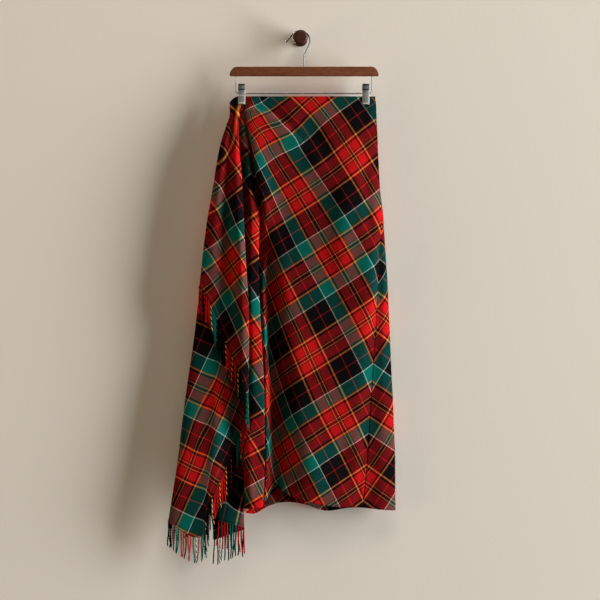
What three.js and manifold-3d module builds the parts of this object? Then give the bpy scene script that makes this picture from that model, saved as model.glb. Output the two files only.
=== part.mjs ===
// Bias-cut tartan maxi skirt with a fringed side drape, held by two clips on a wooden bar hanger
// whose hook rests on a round wall peg.
//
// Units are millimetres and +Z is up. The wall is the plane y = 0 and the room lies towards -y.
// The origin is the centre of the peg's back face, where the peg meets the wall.
// Each cloth piece is a sheet: a table gives its fold lines (columns) at a few heights (rows),
// a smooth curve joins the columns across each row, and the sheet is thickened both ways.

import * as THREE from "three";
import { mergeVertices } from "three/addons/utils/BufferGeometryUtils.js";
import Module from "manifold-3d";

const wasm = await Module();
wasm.setup();

// ---- Driving dimensions ----

const CLOTH_THICKNESS = 1.6;
const SEAM_GAP = 0.34;
const WAIST_Z = -138;
const SKIRT_DROP = 968;
const HANGER_Y = -32;

const PEG_HEAD_RADIUS = 18;
const PEG_NECK_RADIUS = 14.3;
const PEG_LENGTH = 51;

const HOOK_WIRE_RADIUS = 1.6;
const HOOK_RADIUS = 22.8;
const HOOK_CENTRE_Z = -6.6;
const STEM_X = 8.6;

const BAR_LENGTH = 350;
const BAR_HEIGHT = 22;
const BAR_DEPTH = 13;
const BAR_CENTRE_X = 9;
const BAR_TOP_Z = -68;

const WIRE_RADIUS = 1.25;
const WIRE_LEFT_X = -151.5;
const WIRE_RIGHT_X = 167.5;
const WIRE_LOW_Z = -130.4;

const CLIP_WIDTH = 15.5;
const CLIP_LEFT_X = -137.4;
const CLIP_RIGHT_X = 154;
const CLIP_TOP_Z = -110;
const CLIP_BOTTOM_Z = -156.5;
const CLIP_PLATE = 1.6;

const STRAND_LENGTH = 63;
const STRAND_RADIUS = 1.4;
const STRAND_PITCH = 6.6;
const STRIP_WIDTH = 4;

const COLOURS = {
  front: 0x8c2b2c,
  back: 0x7d2a2c,
  drape: 0x86292b,
  fringe: 0x3c2a2c,
  wood: 0x4a2a1b,
  peg: 0x3b1d12,
  steel: 0xc9cbcd,
  grip: 0x3a3a3c,
};

// ---- The skirt's tube ----

// Height below the waist of each table row, mm.
const TUBE_ROWS = [0, 24, 45, 68, 92, 115, 162, 221, 280, 362, 444, 550, 714, 844, 968];

// One entry per fold line of the front, from the right side seam to the left one:
// x and y at each row, and the z of its hem.
const FRONT_COLUMNS = {
  seamRight: {
    x: [174, 176, 177, 177, 178, 179, 181, 186, 191, 187, 183, 176, 165, 157, 146],
    y: [-32.4, -34, -35, -36, -38, -40, -42, -44, -46, -46, -45, -44, -42, -40, -40],
    hem: -1103,
  },
  sideBulge: {
    x: [134, 136, 140, 142, 144, 146, 151, 158, 168, 170, 168, 152, 136, 128, 118],
    y: [-34, -34.6, -38.5, -43, -47, -50.5, -56, -60, -63, -65, -63, -58, -54, -52, -52],
    hem: -1101,
  },
  body: {
    x: [60, 62, 66, 72, 78, 84, 98, 96, 96, 92, 88, 84, 80, 78, 74],
    y: [-37, -39, -43, -47, -51, -54, -59, -62, -63, -62, -60, -58, -57, -56, -56],
    hem: -1099,
  },
  behindSwag: {
    x: [-62, -106, -62, -26, -6, 12, 27, 14, -4, -20, -30, -31, -30, -28, -30],
    y: [-36.4, -36.6, -36.8, -38.5, -41, -45, -54, -57, -57, -56, -55, -54, -54, -54, -55],
    hem: -1073,
  },
  trough: {
    x: [-90, -119, -78, -44, -25, -8, -42, -50, -62, -69, -76, -74, -68, -63, -58],
    y: [-36.4, -41, -46.5, -52, -55, -57, -57, -55, -53, -46, -37, -32, -29, -29, -30],
    hem: -1051,
  },
  ridge: {
    x: [-119, -129, -128, -125, -119, -113, -97, -83, -78, -84, -88, -84, -80, -79, -83],
    y: [-36, -41, -46, -50, -54, -57, -60, -62, -59, -42, -47, -51, -52, -52, -51],
    hem: -1087,
  },
  tuckFront: {
    x: [-125, -132, -131.5, -130, -126, -121, -111, -101, -90, -93, -97, -94, -90, -89, -92],
    y: [-36, -40, -43, -46, -48, -50, -52, -51, -46, -39.5, -42, -44, -44, -44, -44],
    hem: -1090,
  },
  tuckBack: {
    x: [-129, -134, -134, -133.5, -131, -128, -122, -114, -103, -108, -109, -105, -100, -99, -101],
    y: [-36, -39.5, -41.5, -43, -44, -44, -43, -42, -40, -37, -37, -37, -37, -37, -38],
    hem: -1088,
  },
  valleyEdge: {
    x: [-132.5, -136, -136, -136, -134, -131.5, -123, -112.5, -97, -97.5, -97, -92, -85, -83.5, -88],
    y: [-36, -39.5, -43, -46, -48, -50, -52.5, -54, -56, -59, -59, -59, -59, -58, -57],
    hem: -1099,
  },
  valleyRidge: {
    x: [-136, -138, -138.5, -139, -138, -136, -129, -121, -113, -115, -115, -113, -110, -109, -111],
    y: [-35.8, -39, -43, -46, -49, -52, -57, -62, -65, -67, -67, -67, -66, -65, -62],
    hem: -1103,
  },
  gapEdge: {
    x: [-139.5, -141, -142, -143, -142.5, -142, -138, -133, -131, -129, -128, -127, -127, -127, -128],
    y: [-34.6, -36.6, -39, -41, -43, -45, -47, -49, -50, -52, -52, -52, -52, -51, -50],
    hem: -1104,
  },
  seamLeft: {
    x: [-142, -143, -144, -146, -147, -147, -146, -145, -144, -142, -140, -138, -136, -134, -132],
    y: [-32.2, -32.6, -33, -33.5, -34, -34.5, -35, -36, -36.5, -37, -37, -37, -36, -36, -36],
    hem: -1106,
  },
};

// The back's fold lines from the left seam round to the right one: share of the width from the
// left edge to the right edge, y at each row and the z of the hem. The last two wrap to the front.
const BACK_COLUMNS = {
  leftTurn: {
    share: 0.012,
    y: [-30.4, -30, -28.6, -27, -26, -25, -24, -23, -22, -22, -22, -22, -22, -23, -24],
    hem: -1116,
  },
  left: {
    share: 0.07,
    y: [-29.8, -29, -25.6, -22, -19, -17, -14, -12, -11, -11, -11, -11, -12, -13, -14],
    hem: -1119,
  },
  foldA: {
    share: 0.17,
    y: [-29.2, -27, -25, -23, -21, -20, -18, -16, -15, -14, -14, -14, -14, -14, -15],
    hem: -1100,
  },
  foldB: {
    share: 0.28,
    y: [-28.4, -25, -22, -19, -17, -15, -12, -10, -9, -9, -9, -9, -10, -10, -11],
    hem: -1092,
  },
  centre: {
    share: 0.4,
    y: [-27.8, -25, -23, -21, -20, -19, -17, -15, -14, -15, -16, -17, -18, -19, -20],
    hem: -1097,
  },
  foldC: {
    share: 0.54,
    y: [-28.2, -25, -22, -19, -17, -15, -12, -10, -9, -8, -8, -8, -8, -9, -9],
    hem: -1113,
  },
  foldD: {
    share: 0.7,
    y: [-28.8, -26, -24, -22, -20, -19, -17, -15, -14, -14, -15, -16, -17, -18, -18],
    hem: -1105,
  },
  right: {
    share: 0.87,
    y: [-29.8, -28.8, -26, -22.6, -20, -18, -15, -12, -11, -10, -10, -10, -10, -11, -11],
    hem: -1107,
  },
  rightTurn: {
    share: 0.975,
    y: [-30.2, -29.4, -28, -26.4, -25, -24, -22, -20, -19, -18, -18, -18, -18, -18, -18],
    hem: -1109,
  },
};

const RIGHT_EDGE_X = [175, 178, 178.5, 179, 180, 180.5, 183, 187, 194, 200, 205, 210, 217, 222, 223];
const RIGHT_EDGE_Y = [-31, -31.5, -32, -32, -32, -32, -31, -30, -30, -30, -30, -29, -29, -29, -29];
const RIGHT_EDGE_HEM = -1110;
const RIGHT_WRAP_Y = [-32, -33.6, -34.6, -35.4, -37, -38.5, -40, -41, -42, -43, -43, -42, -41, -40, -40];
const RIGHT_WRAP_SHARE = 0.62;
const RIGHT_WRAP_HEM = -1108;

// ---- The side drape ----

// Heights of the drape's table rows, mm.
const DRAPE_ROWS = [
  -139, -161, -184, -205, -252, -299, -358, -417, -499, -581, -616, -687, -851, -981, -1166,
];

// The outer sheet from its free left edge in front, round the fold on the right, back to the left
// behind, and round the fold on the left to its hidden end. top and bottom are z.
const OUTER_COLUMNS = {
  edgeTurn: {
    x: [-165, -163, -163.6, -168.5, -182, -191, -200, -211, -222, -231, -235, -243, -255, -262, -267],
    y: [-44.2, -44.6, -45.9, -47, -50, -52, -55, -57, -59, -61, -61, -61, -61, -61, -61],
    top: -155,
    bottom: -576,
  },
  leftEdge: {
    x: [-163, -165, -164.6, -171.5, -186, -195, -204, -215, -226, -235, -239, -247, -259, -266, -271],
    y: [-44.3, -46.6, -48.4, -50, -54, -57, -60, -62, -64, -66, -66, -66, -66, -66, -66],
    top: -152,
    bottom: -582,
  },
  leftRib: {
    x: [-157, -158, -159.5, -166, -177, -184, -192, -198, -205, -209, -211, -217, -224, -224, -224],
    y: [-44.4, -45.6, -49.5, -53, -60, -65, -69, -71, -72, -70, -70, -70, -70, -70, -70],
    top: -144,
    bottom: -617,
  },
  valley: {
    x: [-150, -151.5, -153, -157.5, -165, -169, -173, -175, -171, -169, -171, -175, -175, -175, -175],
    y: [-44.4, -45.4, -48.3, -51, -55.5, -59, -61, -62, -61, -61, -62, -64, -66, -66, -66],
    top: -140,
    bottom: -708,
  },
  rightRib: {
    x: [-142, -145, -147.1, -149, -150, -149, -147, -144, -139, -136, -135, -134, -133, -133, -135],
    y: [-44.4, -45.6, -49.7, -53.5, -61, -68, -74, -79, -85, -88, -88, -88, -86, -86, -86],
    top: -138,
    bottom: -800,
  },
  rightFold: {
    x: [-137.6, -140, -142.1, -144, -144, -140, -135.5, -132, -128, -123, -121, -120, -121, -122, -125],
    y: [-42.8, -43.6, -46.9, -50, -55, -59, -64, -68, -72, -76, -77, -77, -75, -74, -74],
    top: -138,
    bottom: -851,
  },
  underRight: {
    x: [-142, -144, -147.4, -150.5, -152, -151.5, -149.5, -147, -143, -140, -138, -136, -136, -143, -161],
    y: [-41.2, -41.9, -44, -46, -48.5, -50, -51.5, -52.5, -54, -55, -55, -56, -58, -60, -62],
    top: -139,
    bottom: -920,
  },
  underRibA: {
    x: [-146, -148, -152.2, -156, -159, -160.5, -161, -161.5, -161.5, -161, -160.5, -160, -168, -180, -197],
    y: [-41.2, -41.9, -44, -46, -49.2, -51.5, -53.5, -54.5, -56.5, -57.5, -58, -59, -62.5, -65.5, -68],
    top: -140,
    bottom: -1027,
  },
  underRibB: {
    x: [-150, -152, -156.2, -160, -164, -167, -169, -170, -171.5, -172.5, -173, -175.5, -188, -202, -221],
    y: [-41.2, -41.9, -44, -46, -49.2, -51.5, -53.5, -54.5, -56.5, -57.5, -58, -60, -64, -67.5, -70],
    top: -141,
    bottom: -1090,
  },
  underLeft: {
    x: [-154, -155.5, -159.7, -163.5, -168, -172.5, -176, -179, -183, -186.5, -189, -195, -213, -228, -236],
    y: [-41.2, -41.9, -43.8, -45.6, -49, -51, -53, -54, -55.5, -56.5, -57, -59, -63, -67, -69],
    top: -144,
    bottom: -1166,
  },
  underEdge: {
    x: [-159, -160.5, -162.5, -166, -175.5, -182, -190, -199, -211, -221, -229, -239, -262, -278, -306],
    y: [-41, -42, -43.8, -45.5, -48, -49.5, -51.5, -52.5, -53.5, -54.5, -54.5, -55.5, -59, -62, -65],
    top: -147,
    bottom: -1133,
  },
  leftFold: {
    x: [-163.4, -164.4, -164.4, -169.4, -180, -187, -196, -206, -219, -230, -237, -246, -269, -285, -313],
    y: [-39.6, -40.2, -41.4, -42.5, -45, -46, -47, -48, -49, -50, -50, -50, -52, -54, -57],
    top: -152,
    bottom: -1127,
  },
  behindLeft: {
    x: [-158, -159, -160, -163, -171, -177, -184, -192, -203, -213, -218, -226, -247, -262, -288],
    y: [-38, -38.4, -39.5, -40.6, -42, -42.6, -43, -43.4, -43.6, -44, -44, -44, -45, -46, -48],
    top: -147,
    bottom: -1112,
  },
  behindEnd: {
    x: [-152, -153, -155.1, -157, -161, -165, -170, -176, -184, -192, -196, -203, -221, -234, -256],
    y: [-38, -38.4, -39.3, -40.2, -41.4, -42, -42.4, -42.6, -43, -43.2, -43.2, -43.4, -44, -44.6, -46],
    top: -142,
    bottom: -1096,
  },
};

// The inner sheet, behind the outer one: its front layer, the fold on its right and its back layer.
const INNER_ROWS = [-208, -299, -417, -581, -851, -981, -1094, -1180];
const INNER_COLUMNS = {
  frontLeft: {
    x: [-167, -170, -174, -180, -187, -190, -192, -193],
    y: [-38.6, -38.8, -39.2, -39.8, -40.6, -41.4, -42.4, -44],
    top: -214,
    bottom: -1131,
  },
  frontMiddle: {
    x: [-160, -161, -162, -165, -166, -167, -166, -166],
    y: [-38.45, -38.9, -39.8, -40.6, -42, -43, -45, -47],
    top: -208,
    bottom: -1137,
  },
  rightFold: {
    x: [-152, -151.4, -150.4, -148, -143.5, -141.4, -138, -134],
    y: [-35.6, -36.4, -36.6, -36.8, -37.4, -38, -39, -40],
    top: -203,
    bottom: -1148,
  },
  backMiddle: {
    x: [-160, -161, -163, -166, -167, -167, -167, -167],
    y: [-33.8, -33.6, -33, -32.4, -31.6, -31.2, -31, -31],
    top: -208,
    bottom: -1163,
  },
  backLeft: {
    x: [-168, -174, -181, -190, -198, -201, -204, -205],
    y: [-33.8, -33.4, -33, -32.6, -32.4, -32.4, -32.6, -33],
    top: -214,
    bottom: -1177,
  },
};

// ---- Small mathematics ----

// Value of a table at position p, along a smooth curve through its rows.
function tableValue(rows, values, p) {
  const last = rows.length - 1;
  const falling = rows[last] < rows[0];
  const inside = falling
    ? Math.min(Math.max(p, rows[last]), rows[0])
    : Math.min(Math.max(p, rows[0]), rows[last]);
  let i = 0;
  while (i < last - 1 && (falling ? inside < rows[i + 1] : inside > rows[i + 1])) {
    i += 1;
  }
  const slope = (k) => (values[k + 1] - values[k]) / (rows[k + 1] - rows[k]);
  const tangent = (k) => {
    if (k === 0) return slope(0);
    if (k === last) return slope(last - 1);
    const a = slope(k - 1);
    const b = slope(k);
    return a * b > 0 ? (2 * a * b) / (a + b) : (a + b) * 0.25;
  };
  const span = rows[i + 1] - rows[i];
  const t = (inside - rows[i]) / span;
  const t2 = t * t;
  const t3 = t2 * t;
  return (
    values[i] * (2 * t3 - 3 * t2 + 1) +
    tangent(i) * span * (t3 - 2 * t2 + t) +
    values[i + 1] * (3 * t2 - 2 * t3) +
    tangent(i + 1) * span * (t3 - t2)
  );
}

// A repeatable number between 0 and 1 for an index.
function scatter(index) {
  const s = Math.sin(index * 127.1 + 11.7) * 43758.5453;
  return s - Math.floor(s);
}

// Points along a smooth curve through the controls, with a given number of steps per span.
function sampleAcross(controls, steps, closed) {
  const curve = new THREE.CatmullRomCurve3(controls, closed, "centripetal");
  const spans = closed ? controls.length : controls.length - 1;
  const points = [];
  for (let span = 0; span < spans; span += 1) {
    for (let k = 0; k < steps[span]; k += 1) {
      points.push(curve.getPoint((span + k / steps[span]) / spans));
    }
  }
  if (!closed) {
    points.push(controls[controls.length - 1].clone());
  }
  return points;
}

// Unit normals of a grid of points, row by row.
function gridNormals(grid, closed) {
  const rows = grid.length;
  const cols = grid[0].length;
  return grid.map((row, r) => row.map((point, c) => {
    const before = closed ? (c + cols - 1) % cols : Math.max(c - 1, 0);
    const after = closed ? (c + 1) % cols : Math.min(c + 1, cols - 1);
    const across = row[after].clone().sub(point).normalize();
    const from = point.clone().sub(row[before]).normalize();
    across.add(from);
    const down = grid[Math.min(r + 1, rows - 1)][c].clone().sub(grid[Math.max(r - 1, 0)][c]);
    return across.cross(down).normalize();
  }));
}

// ---- Solids ----

// A closed solid from positions and triangle indices, turned so its faces point out.
function solidGeometry(positions, indices) {
  const geometry = new THREE.BufferGeometry();
  geometry.setAttribute("position", new THREE.Float32BufferAttribute(positions, 3));
  let volume = 0;
  const a = new THREE.Vector3();
  const b = new THREE.Vector3();
  const c = new THREE.Vector3();
  for (let i = 0; i < indices.length; i += 3) {
    a.fromArray(positions, indices[i] * 3);
    b.fromArray(positions, indices[i + 1] * 3);
    c.fromArray(positions, indices[i + 2] * 3);
    volume += a.dot(b.cross(c));
  }
  if (volume < 0) {
    for (let i = 0; i < indices.length; i += 3) {
      [indices[i], indices[i + 1]] = [indices[i + 1], indices[i]];
    }
  }
  geometry.setIndex(indices);
  geometry.computeVertexNormals();
  return geometry;
}

// A sheet of cloth: the grid moved half the thickness each way and closed along its four edges.
function clothSolid(grid, normals, thickness) {
  const rows = grid.length;
  const cols = grid[0].length;
  const positions = [];
  for (const side of [0.5, -0.5]) {
    for (let r = 0; r < rows; r += 1) {
      for (let c = 0; c < cols; c += 1) {
        const p = grid[r][c].clone().addScaledVector(normals[r][c], side * thickness);
        positions.push(p.x, p.y, p.z);
      }
    }
  }
  const at = (side, r, c) => side * rows * cols + r * cols + c;
  const indices = [];
  const quad = (p, q, s, t) => indices.push(p, q, s, p, s, t);
  for (let r = 0; r < rows - 1; r += 1) {
    for (let c = 0; c < cols - 1; c += 1) {
      quad(at(0, r, c), at(0, r, c + 1), at(0, r + 1, c + 1), at(0, r + 1, c));
      quad(at(1, r, c), at(1, r + 1, c), at(1, r + 1, c + 1), at(1, r, c + 1));
    }
  }
  for (let c = 0; c < cols - 1; c += 1) {
    quad(at(0, 0, c), at(1, 0, c), at(1, 0, c + 1), at(0, 0, c + 1));
    quad(at(0, rows - 1, c), at(0, rows - 1, c + 1), at(1, rows - 1, c + 1), at(1, rows - 1, c));
  }
  for (let r = 0; r < rows - 1; r += 1) {
    quad(at(0, r, 0), at(0, r + 1, 0), at(1, r + 1, 0), at(1, r, 0));
    quad(at(0, r, cols - 1), at(1, r, cols - 1), at(1, r + 1, cols - 1), at(0, r + 1, cols - 1));
  }
  return solidGeometry(positions, indices);
}

function toManifold(geometry) {
  const bare = geometry.clone();
  bare.deleteAttribute("normal");
  bare.deleteAttribute("uv");
  const merged = mergeVertices(bare, 1e-4);
  const source = new wasm.Mesh({
    numProp: 3,
    vertProperties: new Float32Array(merged.attributes.position.array),
    triVerts: new Uint32Array(merged.index.array),
  });
  return new wasm.Manifold(source);
}

function fromManifold(solid) {
  const mesh = solid.getMesh();
  const geometry = new THREE.BufferGeometry();
  geometry.setAttribute("position", new THREE.Float32BufferAttribute(mesh.vertProperties, 3));
  geometry.setIndex(Array.from(mesh.triVerts));
  geometry.computeVertexNormals();
  return geometry;
}

function circleShape(radius, sides) {
  const shape = new THREE.Shape();
  for (let i = 0; i < sides; i += 1) {
    const angle = (2 * Math.PI * (i + 0.5)) / sides;
    const x = radius * Math.cos(angle);
    const y = radius * Math.sin(angle);
    if (i === 0) shape.moveTo(x, y);
    else shape.lineTo(x, y);
  }
  shape.closePath();
  return shape;
}

function sweptRod(curve, radius, sides, steps) {
  return new THREE.ExtrudeGeometry(circleShape(radius, sides), {
    steps,
    bevelEnabled: false,
    extrudePath: curve,
  });
}

function material(colour, roughness, metalness) {
  return new THREE.MeshStandardMaterial({ color: colour, roughness, metalness });
}

const group = new THREE.Group();

function addPart(name, geometry, look) {
  const mesh = new THREE.Mesh(geometry, look);
  mesh.name = name;
  group.add(mesh);
  return mesh;
}

const FRONT_LOOK = material(COLOURS.front, 0.95, 0);
const BACK_LOOK = material(COLOURS.back, 0.95, 0);
const DRAPE_LOOK = material(COLOURS.drape, 0.95, 0);
const FRINGE_LOOK = material(COLOURS.fringe, 0.95, 0);
const WOOD_LOOK = material(COLOURS.wood, 0.45, 0);
const PEG_LOOK = material(COLOURS.peg, 0.4, 0);
const STEEL_LOOK = material(COLOURS.steel, 0.2, 1);
const GRIP_LOOK = material(COLOURS.grip, 0.6, 0);

// ---- Wall peg ----

function buildPeg() {
  const profile = [
    [0, 0], [16.5, 0], [17, 0.6], [17, 2.6], [PEG_NECK_RADIUS, 6], [PEG_NECK_RADIUS, 35],
    [16.6, 36.4], [PEG_HEAD_RADIUS, 38.6], [PEG_HEAD_RADIUS, 44], [16.6, 47.6], [13, 50],
    [7, PEG_LENGTH - 0.2],
    [0, PEG_LENGTH],
  ].map(([radius, height]) => new THREE.Vector2(radius, height));
  const geometry = new THREE.LatheGeometry(profile, 24);
  geometry.rotateX(Math.PI);
  addPart("wall_peg", geometry, PEG_LOOK);
}

// ---- Hanger ----

function hookCurve() {
  const points = [];
  const tipAngle = 135;
  const leaveAngle = -30;
  points.push(new THREE.Vector3(-32.9, 0, -7.8));
  points.push(new THREE.Vector3(-27.6, 0, -2.2));
  points.push(new THREE.Vector3(-22, 0, 3.6));
  for (let angle = tipAngle; angle >= leaveAngle; angle -= 15) {
    const a = (angle * Math.PI) / 180;
    const x = HOOK_RADIUS * Math.cos(a);
    const z = HOOK_CENTRE_Z + HOOK_RADIUS * Math.sin(a);
    points.push(new THREE.Vector3(x, 0, z));
  }
  points.push(new THREE.Vector3(13.4, 0, -31));
  points.push(new THREE.Vector3(9.4, 0, -39));
  points.push(new THREE.Vector3(STEM_X, 0, -46));
  points.push(new THREE.Vector3(STEM_X, 0, BAR_TOP_Z - 10));
  for (const point of points) {
    point.y = HANGER_Y;
  }
  return new THREE.CatmullRomCurve3(points, false, "centripetal");
}

function buildHook() {
  const rod = toManifold(sweptRod(hookCurve(), HOOK_WIRE_RADIUS, 8, 44));
  const ball = new THREE.SphereGeometry(2.5, 10, 7);
  ball.translate(-32.9, HANGER_Y, -7.8);
  addPart("hanger_hook", fromManifold(rod.add(toManifold(ball))), STEEL_LOOK);
}

function barOutline() {
  const half = BAR_LENGTH / 2;
  const shape = new THREE.Shape();
  const bottom = -BAR_HEIGHT;
  // Half of the rounded end: distance in from the end, height below the top.
  const end = [[1.5, bottom], [0.4, bottom + 1.4], [0, bottom + 3.5], [1.2, -13.5], [3.2, -9.5], [6.5, -5],
    [10.5, -1.9], [15.5, 0]];
  end.forEach(([inset, z], i) => {
    if (i === 0) shape.moveTo(half - inset, z);
    else shape.lineTo(half - inset, z);
  });
  end.reverse().forEach(([inset, z]) => shape.lineTo(-half + inset, z));
  shape.closePath();
  return shape;
}

function drill(x, z, radius, height) {
  const bore = new THREE.CylinderGeometry(radius, radius, height, 14);
  bore.rotateX(Math.PI / 2);
  bore.translate(x, HANGER_Y, z);
  return toManifold(bore);
}

function buildBar() {
  const geometry = new THREE.ExtrudeGeometry(barOutline(), {
    depth: BAR_DEPTH - 3,
    steps: 1,
    bevelEnabled: true,
    bevelThickness: 1.5,
    bevelSize: 1.5,
    bevelOffset: -1.5,
    bevelSegments: 1,
  });
  geometry.rotateX(Math.PI / 2);
  geometry.translate(BAR_CENTRE_X, HANGER_Y + (BAR_DEPTH - 3) / 2, BAR_TOP_Z);
  const bar = toManifold(geometry)
    .subtract(drill(STEM_X, BAR_TOP_Z - 5, HOOK_WIRE_RADIUS + 0.35, 12))
    .subtract(drill(WIRE_LEFT_X, BAR_TOP_Z - BAR_HEIGHT + 4, WIRE_RADIUS + 0.35, 10))
    .subtract(drill(WIRE_RIGHT_X, BAR_TOP_Z - BAR_HEIGHT + 4, WIRE_RADIUS + 0.35, 10));
  addPart("hanger_bar", fromManifold(bar), WOOD_LOOK);
}

function buildWire() {
  const top = BAR_TOP_Z - BAR_HEIGHT + 8;
  const points = [
    [WIRE_LEFT_X, top], [WIRE_LEFT_X, -96], [WIRE_LEFT_X, -120], [WIRE_LEFT_X + 0.7, -125.5],
    [WIRE_LEFT_X + 2.6, -129.2], [WIRE_LEFT_X + 6, WIRE_LOW_Z], [WIRE_LEFT_X + 9, WIRE_LOW_Z],
    [-120, WIRE_LOW_Z], [10, WIRE_LOW_Z], [136, WIRE_LOW_Z], [WIRE_RIGHT_X - 9, WIRE_LOW_Z],
    [WIRE_RIGHT_X - 6, WIRE_LOW_Z], [WIRE_RIGHT_X - 2.6, -129.2], [WIRE_RIGHT_X - 0.7, -125.5],
    [WIRE_RIGHT_X, -120], [WIRE_RIGHT_X, -96], [WIRE_RIGHT_X, top],
  ].map(([x, z]) => new THREE.Vector3(x, HANGER_Y, z));
  const path = new THREE.CatmullRomCurve3(points, false, "centripetal");
  addPart("hanger_wire", sweptRod(path, WIRE_RADIUS, 6, 44), STEEL_LOOK);
}

// ---- Clips ----

// A sprung plate with a bent side profile, given as [y, z] points along its middle.
function bentPlate(centreX, profile, width) {
  const left = [];
  const right = [];
  profile.forEach(([y, z], i) => {
    const [y0, z0] = profile[Math.max(i - 1, 0)];
    const [y1, z1] = profile[Math.min(i + 1, profile.length - 1)];
    const length = Math.hypot(y1 - y0, z1 - z0);
    const ny = (-(z1 - z0) / length) * (CLIP_PLATE / 2);
    const nz = ((y1 - y0) / length) * (CLIP_PLATE / 2);
    left.push([y + ny, z + nz]);
    right.push([y - ny, z - nz]);
  });
  const shape = new THREE.Shape();
  [...left, ...right.reverse()].forEach(([y, z], i) => {
    if (i === 0) shape.moveTo(y, z);
    else shape.lineTo(y, z);
  });
  shape.closePath();
  const geometry = new THREE.ExtrudeGeometry(shape, { depth: width, steps: 1, bevelEnabled: false });
  geometry.rotateX(Math.PI / 2);
  geometry.rotateZ(Math.PI / 2);
  geometry.translate(centreX - width / 2, 0, 0);
  return geometry;
}

function buildClip(side, centreX, frontJaw, backJaw) {
  const hubRadius = 4;
  const hub = new THREE.LatheGeometry(
    [[WIRE_RADIUS + 0.5, -5], [hubRadius, -5], [hubRadius, 5], [WIRE_RADIUS + 0.5, 5], [WIRE_RADIUS + 0.5, -5]]
      .map(([radius, height]) => new THREE.Vector2(radius, height)),
    16,
  );
  hub.rotateZ(Math.PI / 2);
  hub.translate(centreX, HANGER_Y, WIRE_LOW_Z);
  addPart(`clip_${side}_hub`, hub, STEEL_LOOK);

  const front = HANGER_Y - hubRadius - 0.35 - CLIP_PLATE / 2;
  const back = HANGER_Y + hubRadius + 0.35 + CLIP_PLATE / 2;
  const frontProfile = [
    [front - 8, CLIP_TOP_Z], [front - 5.2, CLIP_TOP_Z - 6], [front - 1.4, CLIP_TOP_Z - 13],
    [front, WIRE_LOW_Z + 2.5], [front, WIRE_LOW_Z - 2.5], [Math.min(front, frontJaw), -137],
    [frontJaw, -143], [frontJaw, CLIP_BOTTOM_Z + 3], [frontJaw - 1.6, CLIP_BOTTOM_Z],
  ];
  const backProfile = [
    [back + 7, CLIP_TOP_Z - 1], [back + 4.6, CLIP_TOP_Z - 6], [back + 1.2, CLIP_TOP_Z - 13],
    [back, WIRE_LOW_Z + 2.5], [back, WIRE_LOW_Z - 2.5], [backJaw + 1, -136], [backJaw, -141],
    [backJaw, CLIP_BOTTOM_Z + 3], [backJaw + 1.4, CLIP_BOTTOM_Z],
  ];
  addPart(`clip_${side}_front`, bentPlate(centreX, frontProfile, CLIP_WIDTH), STEEL_LOOK);
  addPart(`clip_${side}_back`, bentPlate(centreX, backProfile, CLIP_WIDTH), STEEL_LOOK);
  addPart(`clip_${side}_grip`, gripGeometry(centreX, front), GRIP_LOOK);
}

// The ribbed pad on the front handle.
function gripGeometry(centreX, front) {
  const shape = new THREE.Shape();
  const ribs = 4;
  const start = new THREE.Vector2(front - 9.5, CLIP_TOP_Z - 0.8);
  const end = new THREE.Vector2(front - 3, CLIP_TOP_Z - 13.2);
  const along = end.clone().sub(start);
  const outward = new THREE.Vector2(along.y, -along.x).normalize();
  const at = (share, height) => start.clone().addScaledVector(along, share).addScaledVector(outward, height);
  const outline = [at(0, 0.1)];
  for (let i = 0; i < ribs; i += 1) {
    outline.push(at((i + 0.08) / ribs, 1.9));
    outline.push(at((i + 0.6) / ribs, 1.9));
    outline.push(at((i + 0.7) / ribs, 1.1));
    outline.push(at((i + 0.98) / ribs, 1.1));
  }
  outline.push(at(1, 0.1));
  outline.forEach((p, i) => {
    if (i === 0) shape.moveTo(p.x, p.y);
    else shape.lineTo(p.x, p.y);
  });
  shape.closePath();
  const width = CLIP_WIDTH - 1;
  const geometry = new THREE.ExtrudeGeometry(shape, { depth: width, steps: 1, bevelEnabled: false });
  geometry.rotateX(Math.PI / 2);
  geometry.rotateZ(Math.PI / 2);
  geometry.translate(centreX - width / 2, 0, 0);
  return geometry;
}

// ---- Skirt tube ----

function tubePoint(x, y, hem, drop) {
  const z = WAIST_Z + (drop / SKIRT_DROP) * (hem - WAIST_Z);
  return new THREE.Vector3(x, y, z);
}

function tubeControls(drop) {
  const controls = [];
  for (const column of Object.values(FRONT_COLUMNS)) {
    const x = tableValue(TUBE_ROWS, column.x, drop);
    const y = tableValue(TUBE_ROWS, column.y, drop);
    controls.push(tubePoint(x, y, column.hem, drop));
  }
  const leftX = tableValue(TUBE_ROWS, FRONT_COLUMNS.seamLeft.x, drop);
  const rightX = tableValue(TUBE_ROWS, RIGHT_EDGE_X, drop);
  for (const column of Object.values(BACK_COLUMNS)) {
    const x = leftX + column.share * (rightX - leftX);
    const y = tableValue(TUBE_ROWS, column.y, drop);
    controls.push(tubePoint(x, y, column.hem, drop));
  }
  controls.push(tubePoint(rightX, tableValue(TUBE_ROWS, RIGHT_EDGE_Y, drop), RIGHT_EDGE_HEM, drop));
  const seamX = tableValue(TUBE_ROWS, FRONT_COLUMNS.seamRight.x, drop);
  const wrapX = seamX + RIGHT_WRAP_SHARE * (rightX - seamX);
  controls.push(tubePoint(wrapX, tableValue(TUBE_ROWS, RIGHT_WRAP_Y, drop), RIGHT_WRAP_HEM, drop));
  return controls;
}

// Trims the outer columns of a piece so that it stands half a seam gap off its neighbour.
function trimSides(grid) {
  for (const row of grid) {
    const last = row.length - 1;
    const start = row[1].clone().sub(row[0]).normalize();
    const end = row[last - 1].clone().sub(row[last]).normalize();
    row[0].addScaledVector(start, SEAM_GAP / 2);
    row[last].addScaledVector(end, SEAM_GAP / 2);
  }
}

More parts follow.
